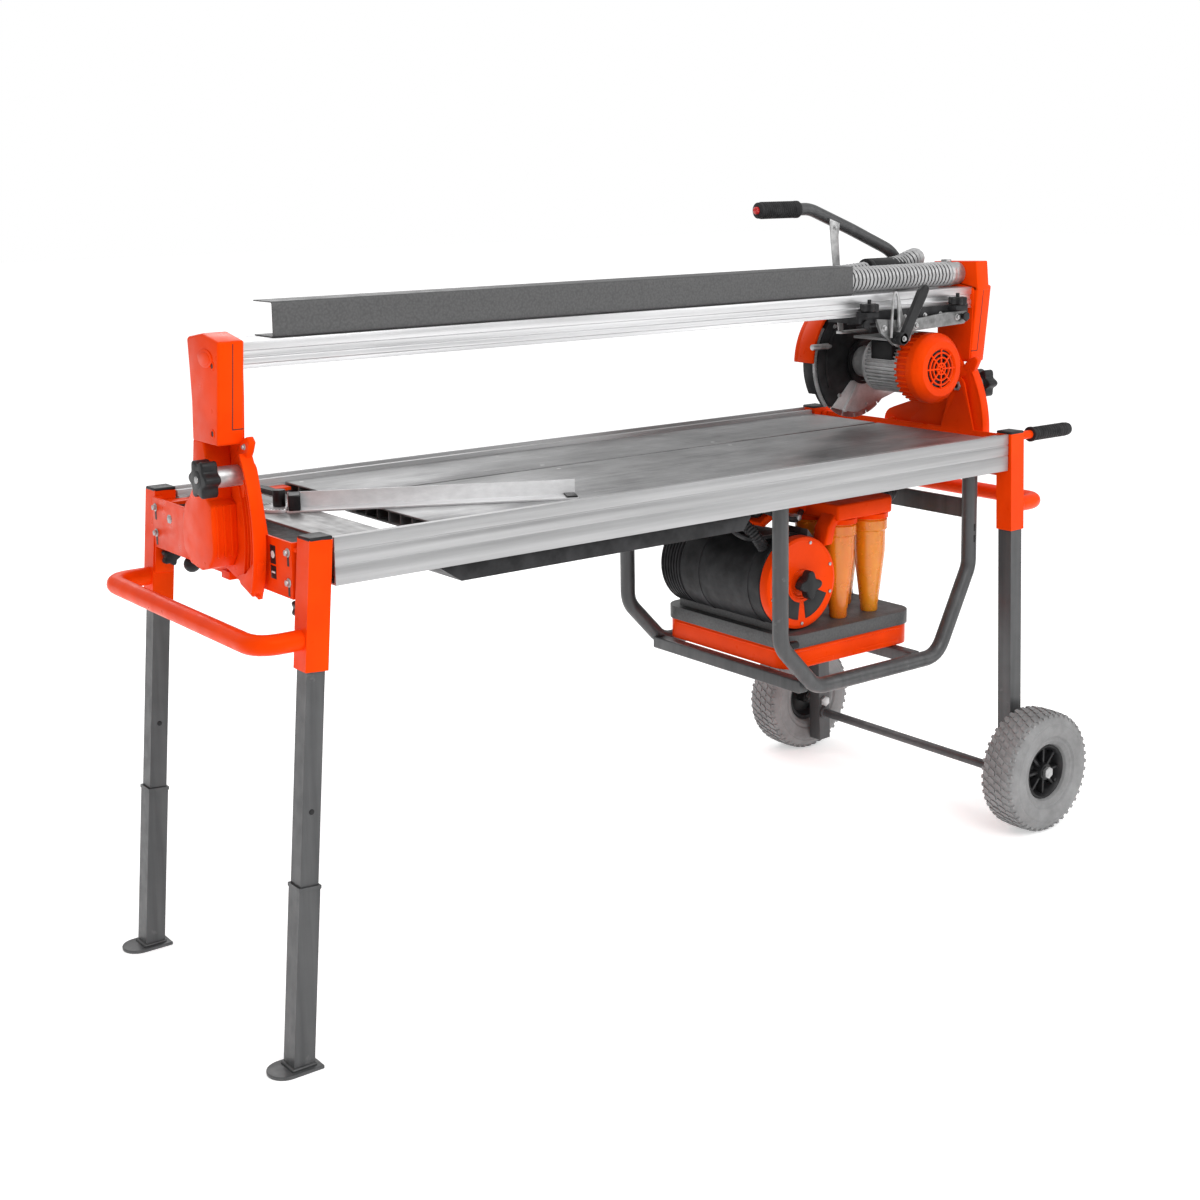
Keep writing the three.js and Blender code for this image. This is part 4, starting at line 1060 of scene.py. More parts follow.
def badgeOutline(wide, high):
    y, z = towerSettings["badge"]
    return [(y + wide * math.cos(math.radians(angle)), z + high * math.sin(math.radians(angle)))
            for angle in range(0, 360, 12)]


# The casing at the top, the tilt housing below it and the web behind them
def towerCasing(side):
    t = towerSettings
    upper = [(-166, 1150), (-160, 1095), (-150, 1010), (-147, 985), (-54, 985), (-57, 1050), (-54, 1100),
             (-50, 1150), (-56, 1153), (-108, 1161)]
    lower = [(-92, 988), (-100, 960), (-96, 893), (-112, 884), (-112, 812), (-108, 800), (-92, 780),
             (-60, 772), (-20, 778), (2, 800), (6, 835), (-6, 868), (-40, 905), (-54, 988)]
    web = [(-150, 950), (-112, 1010), (-60, 1010), (-20, 900), (66, 870)]
    web += arcPoints(t["pivot"], 30, 60, -60, 10)
    web += [(40, 806), (-30, 790), (-108, 800), (-118, 884), (-140, 900)]
    backShell = [(-146, 990), (-56, 990), (-55, 1095), (-58, 1146), (-106, 1155), (-156, 1146), (-152, 1060)]
    parts = [towerPlate(side, upper, t["inner"], t["outer"], 4, 3),
             towerPlate(side, lower, t["inner"], t["outer"] - 0.3, 4, 3),
             towerPlate(side, web, t["inner"] - t["web"] + 0.5, t["inner"] + 1, 1.2),
             towerPlate(side, backShell, t["inner"] - 2, t["inner"] + 0.6, 0.6)]
    # Ribs standing on the front of the tilt housing
    for reach in t["ribs"]:
        across = sideSpan(side, t["inner"] + reach, t["inner"] + reach + 4)
        parts.append(blockPiece(across, (-114.5, -104), (800, 884), 1.2))
    return parts


# Bevel quadrant: slotted fan, rim, the two ridges beside the slot, ear and gusset
def bevelQuadrant(side):
    t = towerSettings
    pivot, inner, slot = t["pivot"], t["inner"], t["slot"]
    fan = [(36, 798), (14, 848), (-20, 874), (-92, 943)]
    fan += arcPoints(pivot, t["fan"] - 1, t["fanStart"], t["fanEnd"], 24)
    slotCut = arcBand(pivot, slot + t["slotHalf"], slot - t["slotHalf"], 150.5, 202, 24)
    fanPiece = towerPlate(side, fan, inner - t["web"] + 0.2, inner - 0.2, 0)
    fanPiece = cutWith(fanPiece, towerPlate(side, slotCut, inner - t["web"] - 3, inner + 3, 0))
    bevelEdges(fanPiece, 0.8, 2, 50)
    rim = arcBand(pivot, t["fan"], t["fan"] - 5, t["fanStart"], t["fanEnd"] - 3, 28)
    parts = [fanPiece, towerPlate(side, rim, inner - t["web"], inner + t["rim"], 1.2, 2, 60)]
    for ridge in (arcBand(pivot, slot + 12, slot + 9, 151, 200, 24),
                  arcBand(pivot, slot - 10, slot - 13, 158, 200, 24)):
        parts.append(towerPlate(side, ridge, inner - 1, inner + 4, 0.8, 2, 60))
    ear = [(-168, 974), (-176, 990), (-167, 999), (-150, 993), (-130, 972), (-112, 946), (-108, 930),
           (-122, 930), (-150, 950)]
    gusset = [(-170, 742), (-196, 800), (-186, 806), (-150, 778), (-120, 768), (-128, 756)]
    parts.append(towerPlate(side, ear, inner - t["web"] + 0.8, inner + 5, 2, 3))
    parts.append(towerPlate(side, gusset, inner - 2, inner + 9, 1.5, 2))
    return parts


def makeTower(side):
    t, sign = towerSettings, ends[side]
    parts = towerCasing(side) + bevelQuadrant(side)
    parts += [smallRing(sign * t["outer"], y, z, 6, 1.6, 24) for y, z in t["recesses"]]
    # Plain raised oval badge
    parts.append(towerPlate(side, badgeOutline(26, 15), t["outer"] - 1, t["outer"] + 2, 1.4, 2, 50))
    parts.append(towerPlate(side, badgeOutline(20, 10), t["outer"] + 1, t["outer"] + 3, 1.2, 2, 50))
    if side == "right":
        hoseBracket = [(-166, 1140), (-60, 1140), (-40, 1200), (-160, 1203)]
        parts.append(towerPlate(side, hoseBracket, t["inner"], t["outer"] - 8, 2))
    finishPiece(joinPieces(parts), side + "_tower_casting", "bridge", "orange", (side + "_tower",), 32)


# Screws in the casing's recesses, the seam round its front, and the bolts of ear, pivot and gusset
def makeTowerBolts(side):
    t, sign = towerSettings, ends[side]
    dark = [barPiece("x", *sideSpan(side, t["outer"] - 1, t["outer"] + 0.4), spot, 4.8, 20, 0.2)
            for spot in t["recesses"]]
    seam = [(-165.8, 1146), (-160.4, 1095), (-150.4, 1010), (-149, 1010), (-158, 1095), (-164, 1146)]
    dark.append(towerPlate(side, seam, t["inner"] + 19, t["inner"] + 20.4, 0))
    dark.append(blockPiece(sideSpan(side, t["inner"] + 1, t["inner"] + 20), (-150.4, -149), (1009, 1010.4),
                           0))
    finishPiece(joinPieces(dark), side + "_tower_screws", "bridge", "plastic")
    bright = [hexBolt("x", sign * (t["inner"] + 5), (-158, 982), 4.5, sign),
              barPiece("x", *sideSpan(side, t["outer"] - 6, t["outer"] - 3), t["pivot"], 8, 6),
              hexBolt("x", sign * t["inner"], (-178, 788), 4, sign)]
    finishPiece(joinPieces(bright), side + "_tower_bolts", "bridge", "steel")


lockSettings = {"angle": 154, "screwEnd": 833.2, "screwTip": 934.5, "screw": 6, "spacer": 17, "knob": 32.7,
                "knobStart": 905, "knobEnd": 932.5}


# Bevel lock: a screw through the slot of the quadrant, with its spacer and lobed knob
def makeLockKnob(side):
    l, t = lockSettings, towerSettings
    centre = (t["pivot"][0] + t["slot"] * math.cos(math.radians(l["angle"])),
              t["pivot"][1] + t["slot"] * math.sin(math.radians(l["angle"])))
    def bar(a, b, radius, sides=28, edge=0.8):
        return barPiece("x", *sideSpan(side, a, b), centre, radius, sides, edge)
    metal = [bar(857.4, 903, l["spacer"], 36, 1.2), bar(l["screwEnd"], l["screwTip"], l["screw"], 20),
             bar(l["screwEnd"], l["screwEnd"] + 3.4, 11, 6), bar(901, l["knobStart"], 12, 28)]
    finishPiece(joinPieces(metal), side + "_lock_screw", side + "_lock", "steel", (side + "_bevel_lock",))
    knob = [lobedKnob("x", *sideSpan(side, l["knobStart"], l["knobEnd"]), centre, l["knob"], 6, 0.13),
            bar(903.2, 908, 20, 36, 1.5), bar(930, 933, 15, 36, 1.2)]
    finishPiece(joinPieces(knob), side + "_lock_knob", side + "_lock", "plastic")


hoseGuardSettings = {"left": -795, "right": 505, "front": -141, "back": -75, "bottom": 1148.3, "top": 1206,
                     "sheet": 2, "bend": 5}


# Folded sheet channel, open at the back, with rounded bends
def makeHoseGuard():
    g = hoseGuardSettings
    front, back, low, high, t, bend = g["front"], g["back"], g["bottom"], g["top"], g["sheet"], g["bend"]
    outer = [(back, low), (front + bend, low)] + arcPoints((front + bend, low + bend), bend, 270, 180, 5)
    outer += arcPoints((front + bend, high - bend), bend, 180, 90, 5) + [(back, high), (back, high - t)]
    inner = arcPoints((front + bend, high - bend), bend - t, 90, 180, 5)
    inner += arcPoints((front + bend, low + bend), bend - t, 180, 270, 5) + [(back, low + t)]
    channel = outlinePiece("x", outer + inner, g["left"], g["right"], 0.4, 1, 50)
    finishPiece(channel, "hose_guard_folded", "bridge", "hammered", ("hose_guard",), 40)


hoseSettings = {"radius": 27, "y": -108, "z": 1176.5, "start": -730, "end": 838, "pitch": 11, "depth": 0.15}


def makeRailHose():
    h = hoseSettings
    run = [(h["start"], h["y"], h["z"]), (h["end"] - 16, h["y"], h["z"])]
    finishPiece(ribbedHose(run, h["radius"], h["pitch"], h["depth"], 24), "rail_hose_ribbed", "bridge",
                "greyHose", ("rail_hose",), 50)
    # A dark tube inside the ribs paints the shade in the hose's grooves
    finishPiece(hoseGrooveShade(run, h["radius"], h["depth"], 24), "rail_hose_groove_shade", "bridge", "blackHoseAndGrooveShade")
    centre = (h["y"], h["z"])
    band = [barPiece("x", h["end"] - 24, h["end"] - 10, centre, h["radius"] + 0.2, 48, 1.2),
            barPiece("x", h["end"] - 10, h["end"] + 18.5, centre, h["radius"] - 3, 48, 1),
            blockPiece((h["end"] - 25, h["end"] - 9), (h["y"] - 8, h["y"] + 8), (h["z"] + 24, h["z"] + 31),
                       1.2)]
    finishPiece(joinPieces(band), "hose_band_clamp", "bridge", "steel")


def makeBridge():
    for side in ends:
        makeTower(side)
        makeTowerBolts(side)
        makeLockKnob(side)
    softCopy("bridge_rail", "bridge", "rail", 0.5)
    makeHoseGuard()
    makeRailHose()


print("scene: stand and wheels")
for side in ends:
    makeEndFrame(side)
    makeSleeveCaps(side)
makeLegs()
makeLowerLegs()
makeLegKnobs()
makeLiftingGrips()
makeWheels()
makeCrossBar()
print("scene: table and bridge")
makeTable()
makeEndPlates()
makeBridge()


# Saw head; its motor, cover, guard and blade are all centred on the arbor
arbor = (722, 984)
carriageSettings = {"face": -158.3, "bolts": ((560, 1084), (640, 1097), (700, 1097), (748, 1097)),
                    "bolt": 4.5, "rollers": (522, 602), "rollerZ": 1088, "roller": 9,
                    "knobX": {"left": 521, "right": 787}, "knobY": -171.3, "knobZ": 1115, "knob": 20}


# Moves points drawn about the arbor to its place
def aroundArbor(points):
    return [(arbor[0] + u, arbor[1] + v) for u, v in points]


def makeCarriage():
    c = carriageSettings
    softCopy("carriage", "slider", "black", 1.0)
    bolts = [hexBolt("y", c["face"], spot, c["bolt"], -1) for spot in c["bolts"]]
    rollers = [barPiece("y", c["face"] - 0.1, c["face"] - 5.7, (x, c["rollerZ"]), c["roller"], 24)
               for x in c["rollers"]]
    finishPiece(joinPieces(bolts), "carriage_bolts", "slider", "steel")
    finishPiece(joinPieces(rollers), "carriage_roller_caps", "slider", "plastic")
    for side, x in c["knobX"].items():
        spot, base = (x, c["knobY"]), c["knobZ"]
        parts = [lobedKnob("z", base, base + 16.5, spot, c["knob"], 6, 0.12),
                 barPiece("z", base - 0.6, base + 3, spot, 12, 28),
                 barPiece("z", base - 10, base + 24.5, spot, 4, 16)]
        node = "carriage_" + side + "_knob"
        finishPiece(joinPieces(parts), node + "_moulded", "slider_" + side + "_screw", "plastic", (node,))


armSettings = {"face": -168, "bolts": ((568, 1078), (790, 1088), (662, 1078)), "bolt": 6, "wireY": -174,
               "wire": 3, "leverHub": (600, 1056), "leverFront": -194, "leverBack": -181, "boss": 13}


# Arm plate with its washered bolts, the wire wishbone and the lock lever
def makePlungeArm():
    a = armSettings
    softCopy("plunge_arm", "head", "dullSteel", 0.8)
    bolts = [hexBolt("y", a["face"], spot, a["bolt"], -1) for spot in a["bolts"]]
    finishPiece(joinPieces(bolts), "plunge_arm_bolts", "head", "steel")
    bow = [(583, 1058), (585, 1100), (588, 1138), (595, 1150), (602, 1138), (605, 1100), (608, 1076)]
    wire = softRun([(x, a["wireY"], z) for x, z in bow], 6)
    gusset = [(603, 1134), (609, 1132), (616, 1104), (640, 1086), (604, 1078)]
    gusset = outlinePiece("y", gusset, a["wireY"] - 1, a["wireY"] + 5, 0.8)
    finishPiece(joinPieces([tubePiece(wire, a["wire"], 12), gusset]), "wishbone_spring", "head", "steel")
    lever = [(586, 1052), (591, 1044), (602, 1042), (612, 1046), (640, 1096), (668, 1138), (674, 1150),
             (675, 1158), (668, 1164), (658, 1162), (648, 1152), (620, 1104), (600, 1070), (588, 1062)]
    parts = [outlinePiece("y", lever, a["leverFront"], a["leverBack"], 3, 4, 50),
             barPiece("y", a["leverFront"], a["face"] - 1, a["leverHub"], a["boss"], 32, 1.5)]
    finishPiece(joinPieces(parts), "plunge_lever_moulded", "plunge_lever", "plastic", ("plunge_lock_lever",))
    finishPiece(hexBolt("y", -193.6, a["leverHub"], 5, -1), "plunge_lever_bolt", "plunge_lever", "steel")


motorSettings = {"fins": 44, "finTop": 59.6, "finRoot": 54, "front": -112, "back": -20, "steps": 56}


# Finned motor with its end bells and saddle
def makeMotor():
    m = motorSettings
    fin = ((0.0, m["finTop"]), (0.34, m["finTop"]), (0.42, m["finRoot"]), (0.92, m["finRoot"]))
    backBell = [(0, -22), (60, -22), (60, -14), (54, -8), (36, -6), (34, 0), (34, 39.7), (9.5, 39.7),
                (9.5, 4), (0, 4)]
    frontBell = [(0, -116), (58, -116), (60, -110), (0, -108)]
    parts = [outlinePiece("y", toothedRim(arbor, m["fins"], fin), m["front"], m["back"], 0),
             turnedPiece("y", backBell, arbor, m["steps"]), turnedPiece("y", frontBell, arbor, m["steps"]),
             blockPiece((674, 770), (-106, -44), (1028, 1046.6), 2),
             blockPiece((690, 756), (-96, -30), (1034, 1046), 2)]
    finishPiece(joinPieces(parts), "motor_finned", "head", "cast", ("motor_housing",), 30)
    box = blockPiece((662, 690), (-100, -40), (1000, 1040), 3, 3)
    finishPiece(box, "motor_terminal_box", "head", "plastic")


fanSettings = {"ribs": 36, "rib": 2.4, "bars": 4, "bar": 1.7, "rings": (12, 24, 34), "ring": 1.6,
               "mouth": 42, "front": -187.6}


# Fan cover: a turned shell with ribs around its skirt, and a grille of rings and bars over dark mesh
def makeFanCover():
    f = fanSettings
    x, z = arbor
    shell = [(40, -184), (44, -188), (58, -187.6), (64, -183), (74, -172), (75, -168), (75, -154),
             (70.5, -151), (70.5, -130), (64, -118), (62, -116.4), (58, -116.4), (58, -120), (66, -138),
             (68, -168), (42, -181), (40, -184)]
    parts = [turnedPiece("y", shell, arbor, 48)]
    rib = blockPiece((x - f["rib"], x + f["rib"]), (-154, -121), (z + 62, z + 74.6), 0.9)
    bar = blockPiece((x - f["bar"], x + f["bar"]), (-187.4, -184), (z - f["mouth"], z + f["mouth"]), 0.6)
    hub = place(x, 0, z)
    parts.append(turnedCopies(rib, "Y", hub, 0, 360 / f["ribs"], f["ribs"]))
    parts.append(turnedCopies(bar, "Y", hub, 0, 180 / f["bars"], f["bars"]))
    for radius in f["rings"]:
        inner, outer = radius - f["ring"], radius + f["ring"]
        section = [(inner, f["front"]), (outer, f["front"]), (outer, -184), (inner, -184),
                   (inner, f["front"])]
        parts.append(turnedPiece("y", section, arbor, 40))
    finishPiece(joinPieces(parts), "fan_cover_moulded", "head", "orange", ("fan_cover",), 30)
    finishPiece(barPiece("y", -182, -170, arbor, f["mouth"], 40), "fan_cover_mesh", "head", "plastic")


bladeGuardSettings = {"radius": 137, "wall": 4, "sheet": 3, "front": 40, "back": 88, "hood": 152,
                      "open": (-2, 222), "steps": 44, "arborHole": 29, "bristles": 64, "brushStart": -146,
                      "brushStep": -1.18, "bolts": ((-104, 40), (-74, -70), (10, -96), (-88, 82), (84, 60))}


# Pressed guard around the blade, hollow and open below, with ribs pressed into its front
def makeBladeGuard():
    g = bladeGuardSettings
    x, z = arbor
    outline = arcPoints((0, 0), g["radius"], *g["open"], g["steps"])
    outline += [(-62, -104), (-20, -112), (30, -84), (136, -64)]
    room = arcPoints((0, 0), g["radius"] - g["wall"], *g["open"], g["steps"])
    room += [(-70, -150), (150, -150), (150, -20)]
    guard = outlinePiece("y", aroundArbor(outline), g["front"], g["back"], 0)
    front, back = g["front"] + g["sheet"], g["back"] - g["sheet"]
    guard = cutWith(guard, outlinePiece("y", aroundArbor(room), front, back, 0))
    guard = cutWith(guard, barPiece("y", 30, 50, arbor, g["arborHole"], 40, 0))
    guard = cutWith(guard, blockPiece((x - 160, x + 160), (68, 95), (z - 160, z - 66), 0))
    bevelEdges(guard, 0.8, 2, 50)
    rib = outlinePiece("y", arcBand(arbor, 118, 112, 10, 205, 30), 37.5, 40.4, 0.8)
    ring = outlinePiece("y", arcBand(arbor, 50, 43, 40, 320, 30), 36, 40.4, 1)
    finishPiece(joinPieces([guard, rib, ring]), "blade_guard_pressed", "head", "black", ("blade_guard",))


# Orange hood, bolts, brush strip and shield plate on the guard
def makeGuardFittings():
    g = bladeGuardSettings
    x, z = arbor
    top = arcPoints((0, 0), g["hood"], 95, 178, 24) + [(-92, 3), (-62, 60), (-10, 96)]
    hood = outlinePiece("y", aroundArbor(top), 87, 102, 2.5, 3)
    skirt = outlinePiece("y", arcBand(arbor, g["hood"], g["hood"] - 6, 110, 178, 20), 44, 90, 1.2)
    finishPiece(joinPieces([hood, skirt]), "guard_hood", "head", "orange")
    bolts = [hexBolt("y", g["front"], spot, 4.5, -1) for spot in aroundArbor(g["bolts"])]
    bolts.append(barPiece("x", 556, 604, (30, 1026), 6.5, 24, 1))
    finishPiece(joinPieces(bolts), "guard_bolts", "head", "steel")
    bristle = blockPiece((x + 136, x + 143), (46, 52), (z - 0.9, z + 0.9), 0)
    brush = turnedCopies(bristle, "Y", place(x, 0, z), g["brushStart"], g["brushStep"], g["bristles"])
    finishPiece(brush, "guard_brush", "head", "cast")
    shield = [(-98, -94), (-62, -104), (-20, -112), (30, -96), (118, -72), (132, -48), (112, -14),
              (66, -20), (30, -44), (-40, -40)]
    strut = [(-66, -106), (-56, -108), (-14, -52), (-24, -48)]
    plates = [outlinePiece("y", aroundArbor(shield), 38, 39.4, 0.3),
              outlinePiece("y", aroundArbor(strut), 35, 38.2, 0.6)]
    finishPiece(joinPieces(plates), "guard_shield_plate", "head", "cast")


bladeSettings = {"segments": 20, "radius": 126.8, "gullet": 118, "bore": 12.7, "front": 64.8, "back": 67.2}


# Blade disc with a gullet after each segment
def makeBlade():
    b = bladeSettings
    segment = [(part, b["radius"]) for part in (0, 0.25, 0.5, 0.75, 0.9)]
    segment += [(part, b["gullet"]) for part in (0.92, 0.98)]
    disc = outlinePiece("y", toothedRim(arbor, b["segments"], segment), b["front"], b["back"], 0)
    disc = cutWith(disc, barPiece("y", b["front"] - 4.8, b["back"] + 4.8, arbor, b["bore"], 32, 0))
    finishPiece(disc, "saw_blade_segmented", "blade", "steel", ("saw_blade",))
    softCopy("blade_spindle", "blade", "steel", 0.4)


handleSettings = {"radius": 13, "y": 2, "footX": 798, "bend": 90, "gripLeft": 372, "gripRight": 484,
                  "gripZ": 1321, "rings": 16, "pitch": 5.6, "bracketY": -16}


# Bent handle tube with its bracket, ringed grip and domed switch button
def makeHeadHandle():
    h = handleSettings
    y, left, right = h["y"], h["gripLeft"], h["gripRight"]
    rise = roundedRun([(h["footX"], y, 1062), (h["footX"], y, 1212), (640, y, 1276), (520, y, h["gripZ"]),
                       (left + 14, y, h["gripZ"])], h["bend"], 14)
    parts = [tubePiece(rise, h["radius"], 28), blockPiece((674, 812), (-30, 16), (1053.4, 1066), 2)]
    finishPiece(joinPieces(parts), "head_handle_tube", "head", "grey", ("head_handle",), 40)
    strap = [(562, 1300), (592, 1290), (588, 1262), (604, 1064), (590, 1060), (566, 1252)]
    bracket = [outlinePiece("y", strap, h["bracketY"], h["bracketY"] + 2.6, 0.6),
               blockPiece((590, 690), (-24, -8), (1056, 1062), 0.8),
               hexBolt("y", h["bracketY"], (577, 1281), 4.5, -1)]
    finishPiece(joinPieces(bracket), "handle_bracket", "head", "steel")
    profile = [(8.3, left), (13, left + 0.4), (16.4, left + 3)]
    for i in range(h["rings"]):
        at = left + 10 + i * h["pitch"]
        profile += [(16.2, at), (17.6, at + 1.4), (17.6, at + 3.4), (16.2, at + 4.8)]
    profile += [(16.4, right - 11), (18, right - 8), (18, right - 1), (14.4, right), (14.2, right - 20),
                (8.3, right - 90), (8.3, left)]
    finishPiece(turnedPiece("x", profile, (y, h["gripZ"]), 36), "head_grip_ribbed", "head", "rubber",
                ("head_grip",))
    dome = [(0, 365.2), (4, 365.6), (7, 367.4), (8, 370), (8, 377), (0, 377)]
    finishPiece(turnedPiece("x", dome, (y, h["gripZ"]), 32), "switch_button_domed", "switch", "red",
                ("switch_button",))


headHoseSettings = {"radius": 22, "pitch": 10, "depth": 0.18, "railY": -47, "railZ": 1191,
                    "guard": (724, 64)}


# Suction hose from the rail to the top of the blade guard, with a cuff at each end
def makeHeadHose():
    h = headHoseSettings
    y = h["railY"]
    route = softRun([(522, y, 1181), (580, y, 1183), (640, y, 1187), (735, y, 1196), (780, -44, 1208),
                     (810, -26, 1206), (818, 8, 1180), (800, 40, 1148), (762, 58, 1130),
                     (*h["guard"], 1114)], 12)
    finishPiece(ribbedHose(route, h["radius"], h["pitch"], h["depth"], 20), "head_hose", "head", "greyHose",
                (), 50)
    # A dark tube inside the ribs paints the shade in the hose's grooves
    finishPiece(hoseGrooveShade(route, h["radius"], h["depth"]), "head_hose_groove_shade", "head", "blackHoseAndGrooveShade")
    cuffs = [barPiece("x", 642, 742, (y, h["railZ"]), 23.6, 40, 2),
             barPiece("x", 636, 648, (y, h["railZ"] - 2), 25.5, 40, 1.5),
             barPiece("z", 1112, 1128, h["guard"], 25, 40, 2)]
    finishPiece(joinPieces(cuffs), "head_hose_cuffs", "head", "plastic")


# Fence
fenceSettings = {"pivotX": -716, "pivotY": 22, "angle": -27, "base": 838.3, "ticks": 23, "tickStart": 70,
                 "tickStep": 10, "screws": ((-760, -252), (-684, -252), (-760, 252), (-684, 252))}


# Turns a piece drawn along X from the fence pivot to the fence's own angle
def swingPiece(piece):
    f = fenceSettings
    piece.data.transform(turnAbout(place(f["pivotX"], f["pivotY"], 0), math.radians(f["angle"]), "Z"))
    return piece


# Mitre fence with its protractor, the plate that it slides on and the clamp lever
def makeFence():
    f = fenceSettings
    x, y, z = f["pivotX"], f["pivotY"], f["base"]
    softCopy("mitre_fence", "fence", "fence", 0.5)
    blocks = [blockPiece((x + 15, x + 36), (y - 43.5, y - 3.4), (z + 3, z + 30), 2.5, 3),
              blockPiece((x + 494, x + 513), (y - 40, y - 3.4), (z + 3, z + 6), 0.6)]
    finishPiece(swingPiece(joinPieces(blocks)), "fence_end_block", "fence", "plastic")
    tick = blockPiece((x + 29, x + 36), (y - 0.4, y + 0.4), (z + 5, z + 5.35), 0)
    marks = turnedCopies(tick, "Z", place(x, y, 0), f["tickStart"], f["tickStep"], f["ticks"])
    finishPiece(swingPiece(marks), "protractor_marks", "fence", "plastic")
    softCopy("fence_clamp_lever", "fence_lever", "plastic", 2.2)
    softCopy("fence_slide_plate", "fence_slider", "dullSteel", 0.8)
    screws = [barPiece("z", 837.6, 838.2, spot, 6, 24, 0.2) for spot in f["screws"]]
    finishPiece(joinPieces(screws), "slide_plate_screws", "fence_slider", "steel")


clampSettings = {"post": (-806, 88), "hubLow": 738, "hubHigh": 763.9, "hub": 15, "ball": 15,
                 "ballAt": (-812, 178, 730)}


# Lever with a ball end that clamps the fence plate from below
def makeTableClamp():
    c = clampSettings
    bpy.ops.mesh.primitive_uv_sphere_add(segments=32, ring_count=20, radius=c["ball"] / 1000,
                                         location=place(*c["ballAt"]))
    ball = bpy.context.object
    applyPlace(ball)
    parts = [ball, tubePiece([(*c["post"], 751), (-812, 170, 733)], 5, 16),
             barPiece("z", c["hubLow"], c["hubHigh"], c["post"], c["hub"], 32, 1.5),
             barPiece("z", c["hubHigh"] - 0.9, 778, c["post"], 4, 16)]
    finishPiece(joinPieces(parts), "table_clamp_moulded", "table_lever", "plastic", ("table_clamp_lever",),
                40)


# Extractor cradle
hoopSettings = {"y": 240, "left": 211, "right": 756, "bottom": 385, "radius": 16, "top": 772.7, "bend": 60,
                "runners": ((276, 302), (600, 626)), "slots": (618, 642)}


# Two bent hoops under the table; the runners and the tie bar are welded to the rear one
def makeCradle():
    h = hoopSettings
    for where, front in sides.items():
        y = front * h["y"]
        run = roundedRun([(h["left"], y, h["top"]), (h["left"], y, 484), (h["left"] + 94, y, h["bottom"]),
                          (h["right"] - 96, y, h["bottom"]), (h["right"], y, 566),
                          (h["right"], y, h["top"])],
                         h["bend"], 10)
        parts = [tubePiece(run, h["radius"], 28)]
        for x in (h["left"], h["right"]):
            parts.append(blockPiece((x - 22, x + 22), (y - 14, y + 14), (h["top"] - 4, h["top"]), 1))
        if where == "rear":
            for runner in h["runners"]:
                parts.append(blockPiece(runner, (-223.5, 236), (372, 398), 3, 3))
            parts.append(blockPiece((751, 761), (-223.5, 236), (668, 708), 1))
        node = "cradle_" + where + "_hoop"
        finishPiece(joinPieces(parts), node + "_bent", "stand", "grey", (node,), 40)
        across = sorted((y - front, y + front * 16.3))
        slots = [blockPiece((h["right"] - 3, h["right"] + 3), across, (z, z + 16), 1) for z in h["slots"]]
        finishPiece(joinPieces(slots), "hoop_" + where + "_slots", "stand", "plastic")


# Dust extractor
traySettings = {"lipZ": 440, "left": 293.5, "front": -171, "lip": 3.2, "feet": ((336, 424), (480, 616)),
                "wire": 2.2}


# Dust drawer and base, with the drawer's rolled lip and feet and the wire latch at its front corner
def makeTray():
    t = traySettings
    softCopy("dust_tray", "dust_drawer", "orange", 1.6, angle=50)
    softCopy("extractor_base", "stand", "hammered", 2.0, angle=50)
    rim = [(t["left"], 172), (t["left"], -132), (297, -150), (308, -164), (332, t["front"]),
           (618, t["front"])]
    lip = softRun([(x, y, t["lipZ"]) for x, y in rim], 8)
    feet = [blockPiece(foot, (t["front"] - 2, t["front"] + 11), (404, 415), 2, 3) for foot in t["feet"]]
    finishPiece(joinPieces([tubePiece(lip, t["lip"], 12)] + feet), "dust_tray_lip", "dust_drawer", "orange")
    wire = roundedRun([(286, -186, 458), (286, -186, 414), (308, -184, 400), (330, -176, 399)], 12, 6)
    finishPiece(tubePiece(wire, t["wire"], 12), "latch_wire", "stand", "steel")
    finishPiece(barPiece("x", 272, 306, (-186, 460), 9, 28, 1.4), "latch_roller", "stand", "plastic")


drumSettings = {"centre": (357, 572), "radius": 97, "front": -126, "back": 190, "grooves": 7,
                "straps": (-92, 60), "face": -147, "screws": (20, 74, 128, 196, 270, 340),
                "screwCircle": 84, "windows": ((196, 262), (278, 336)), "knob": 30}


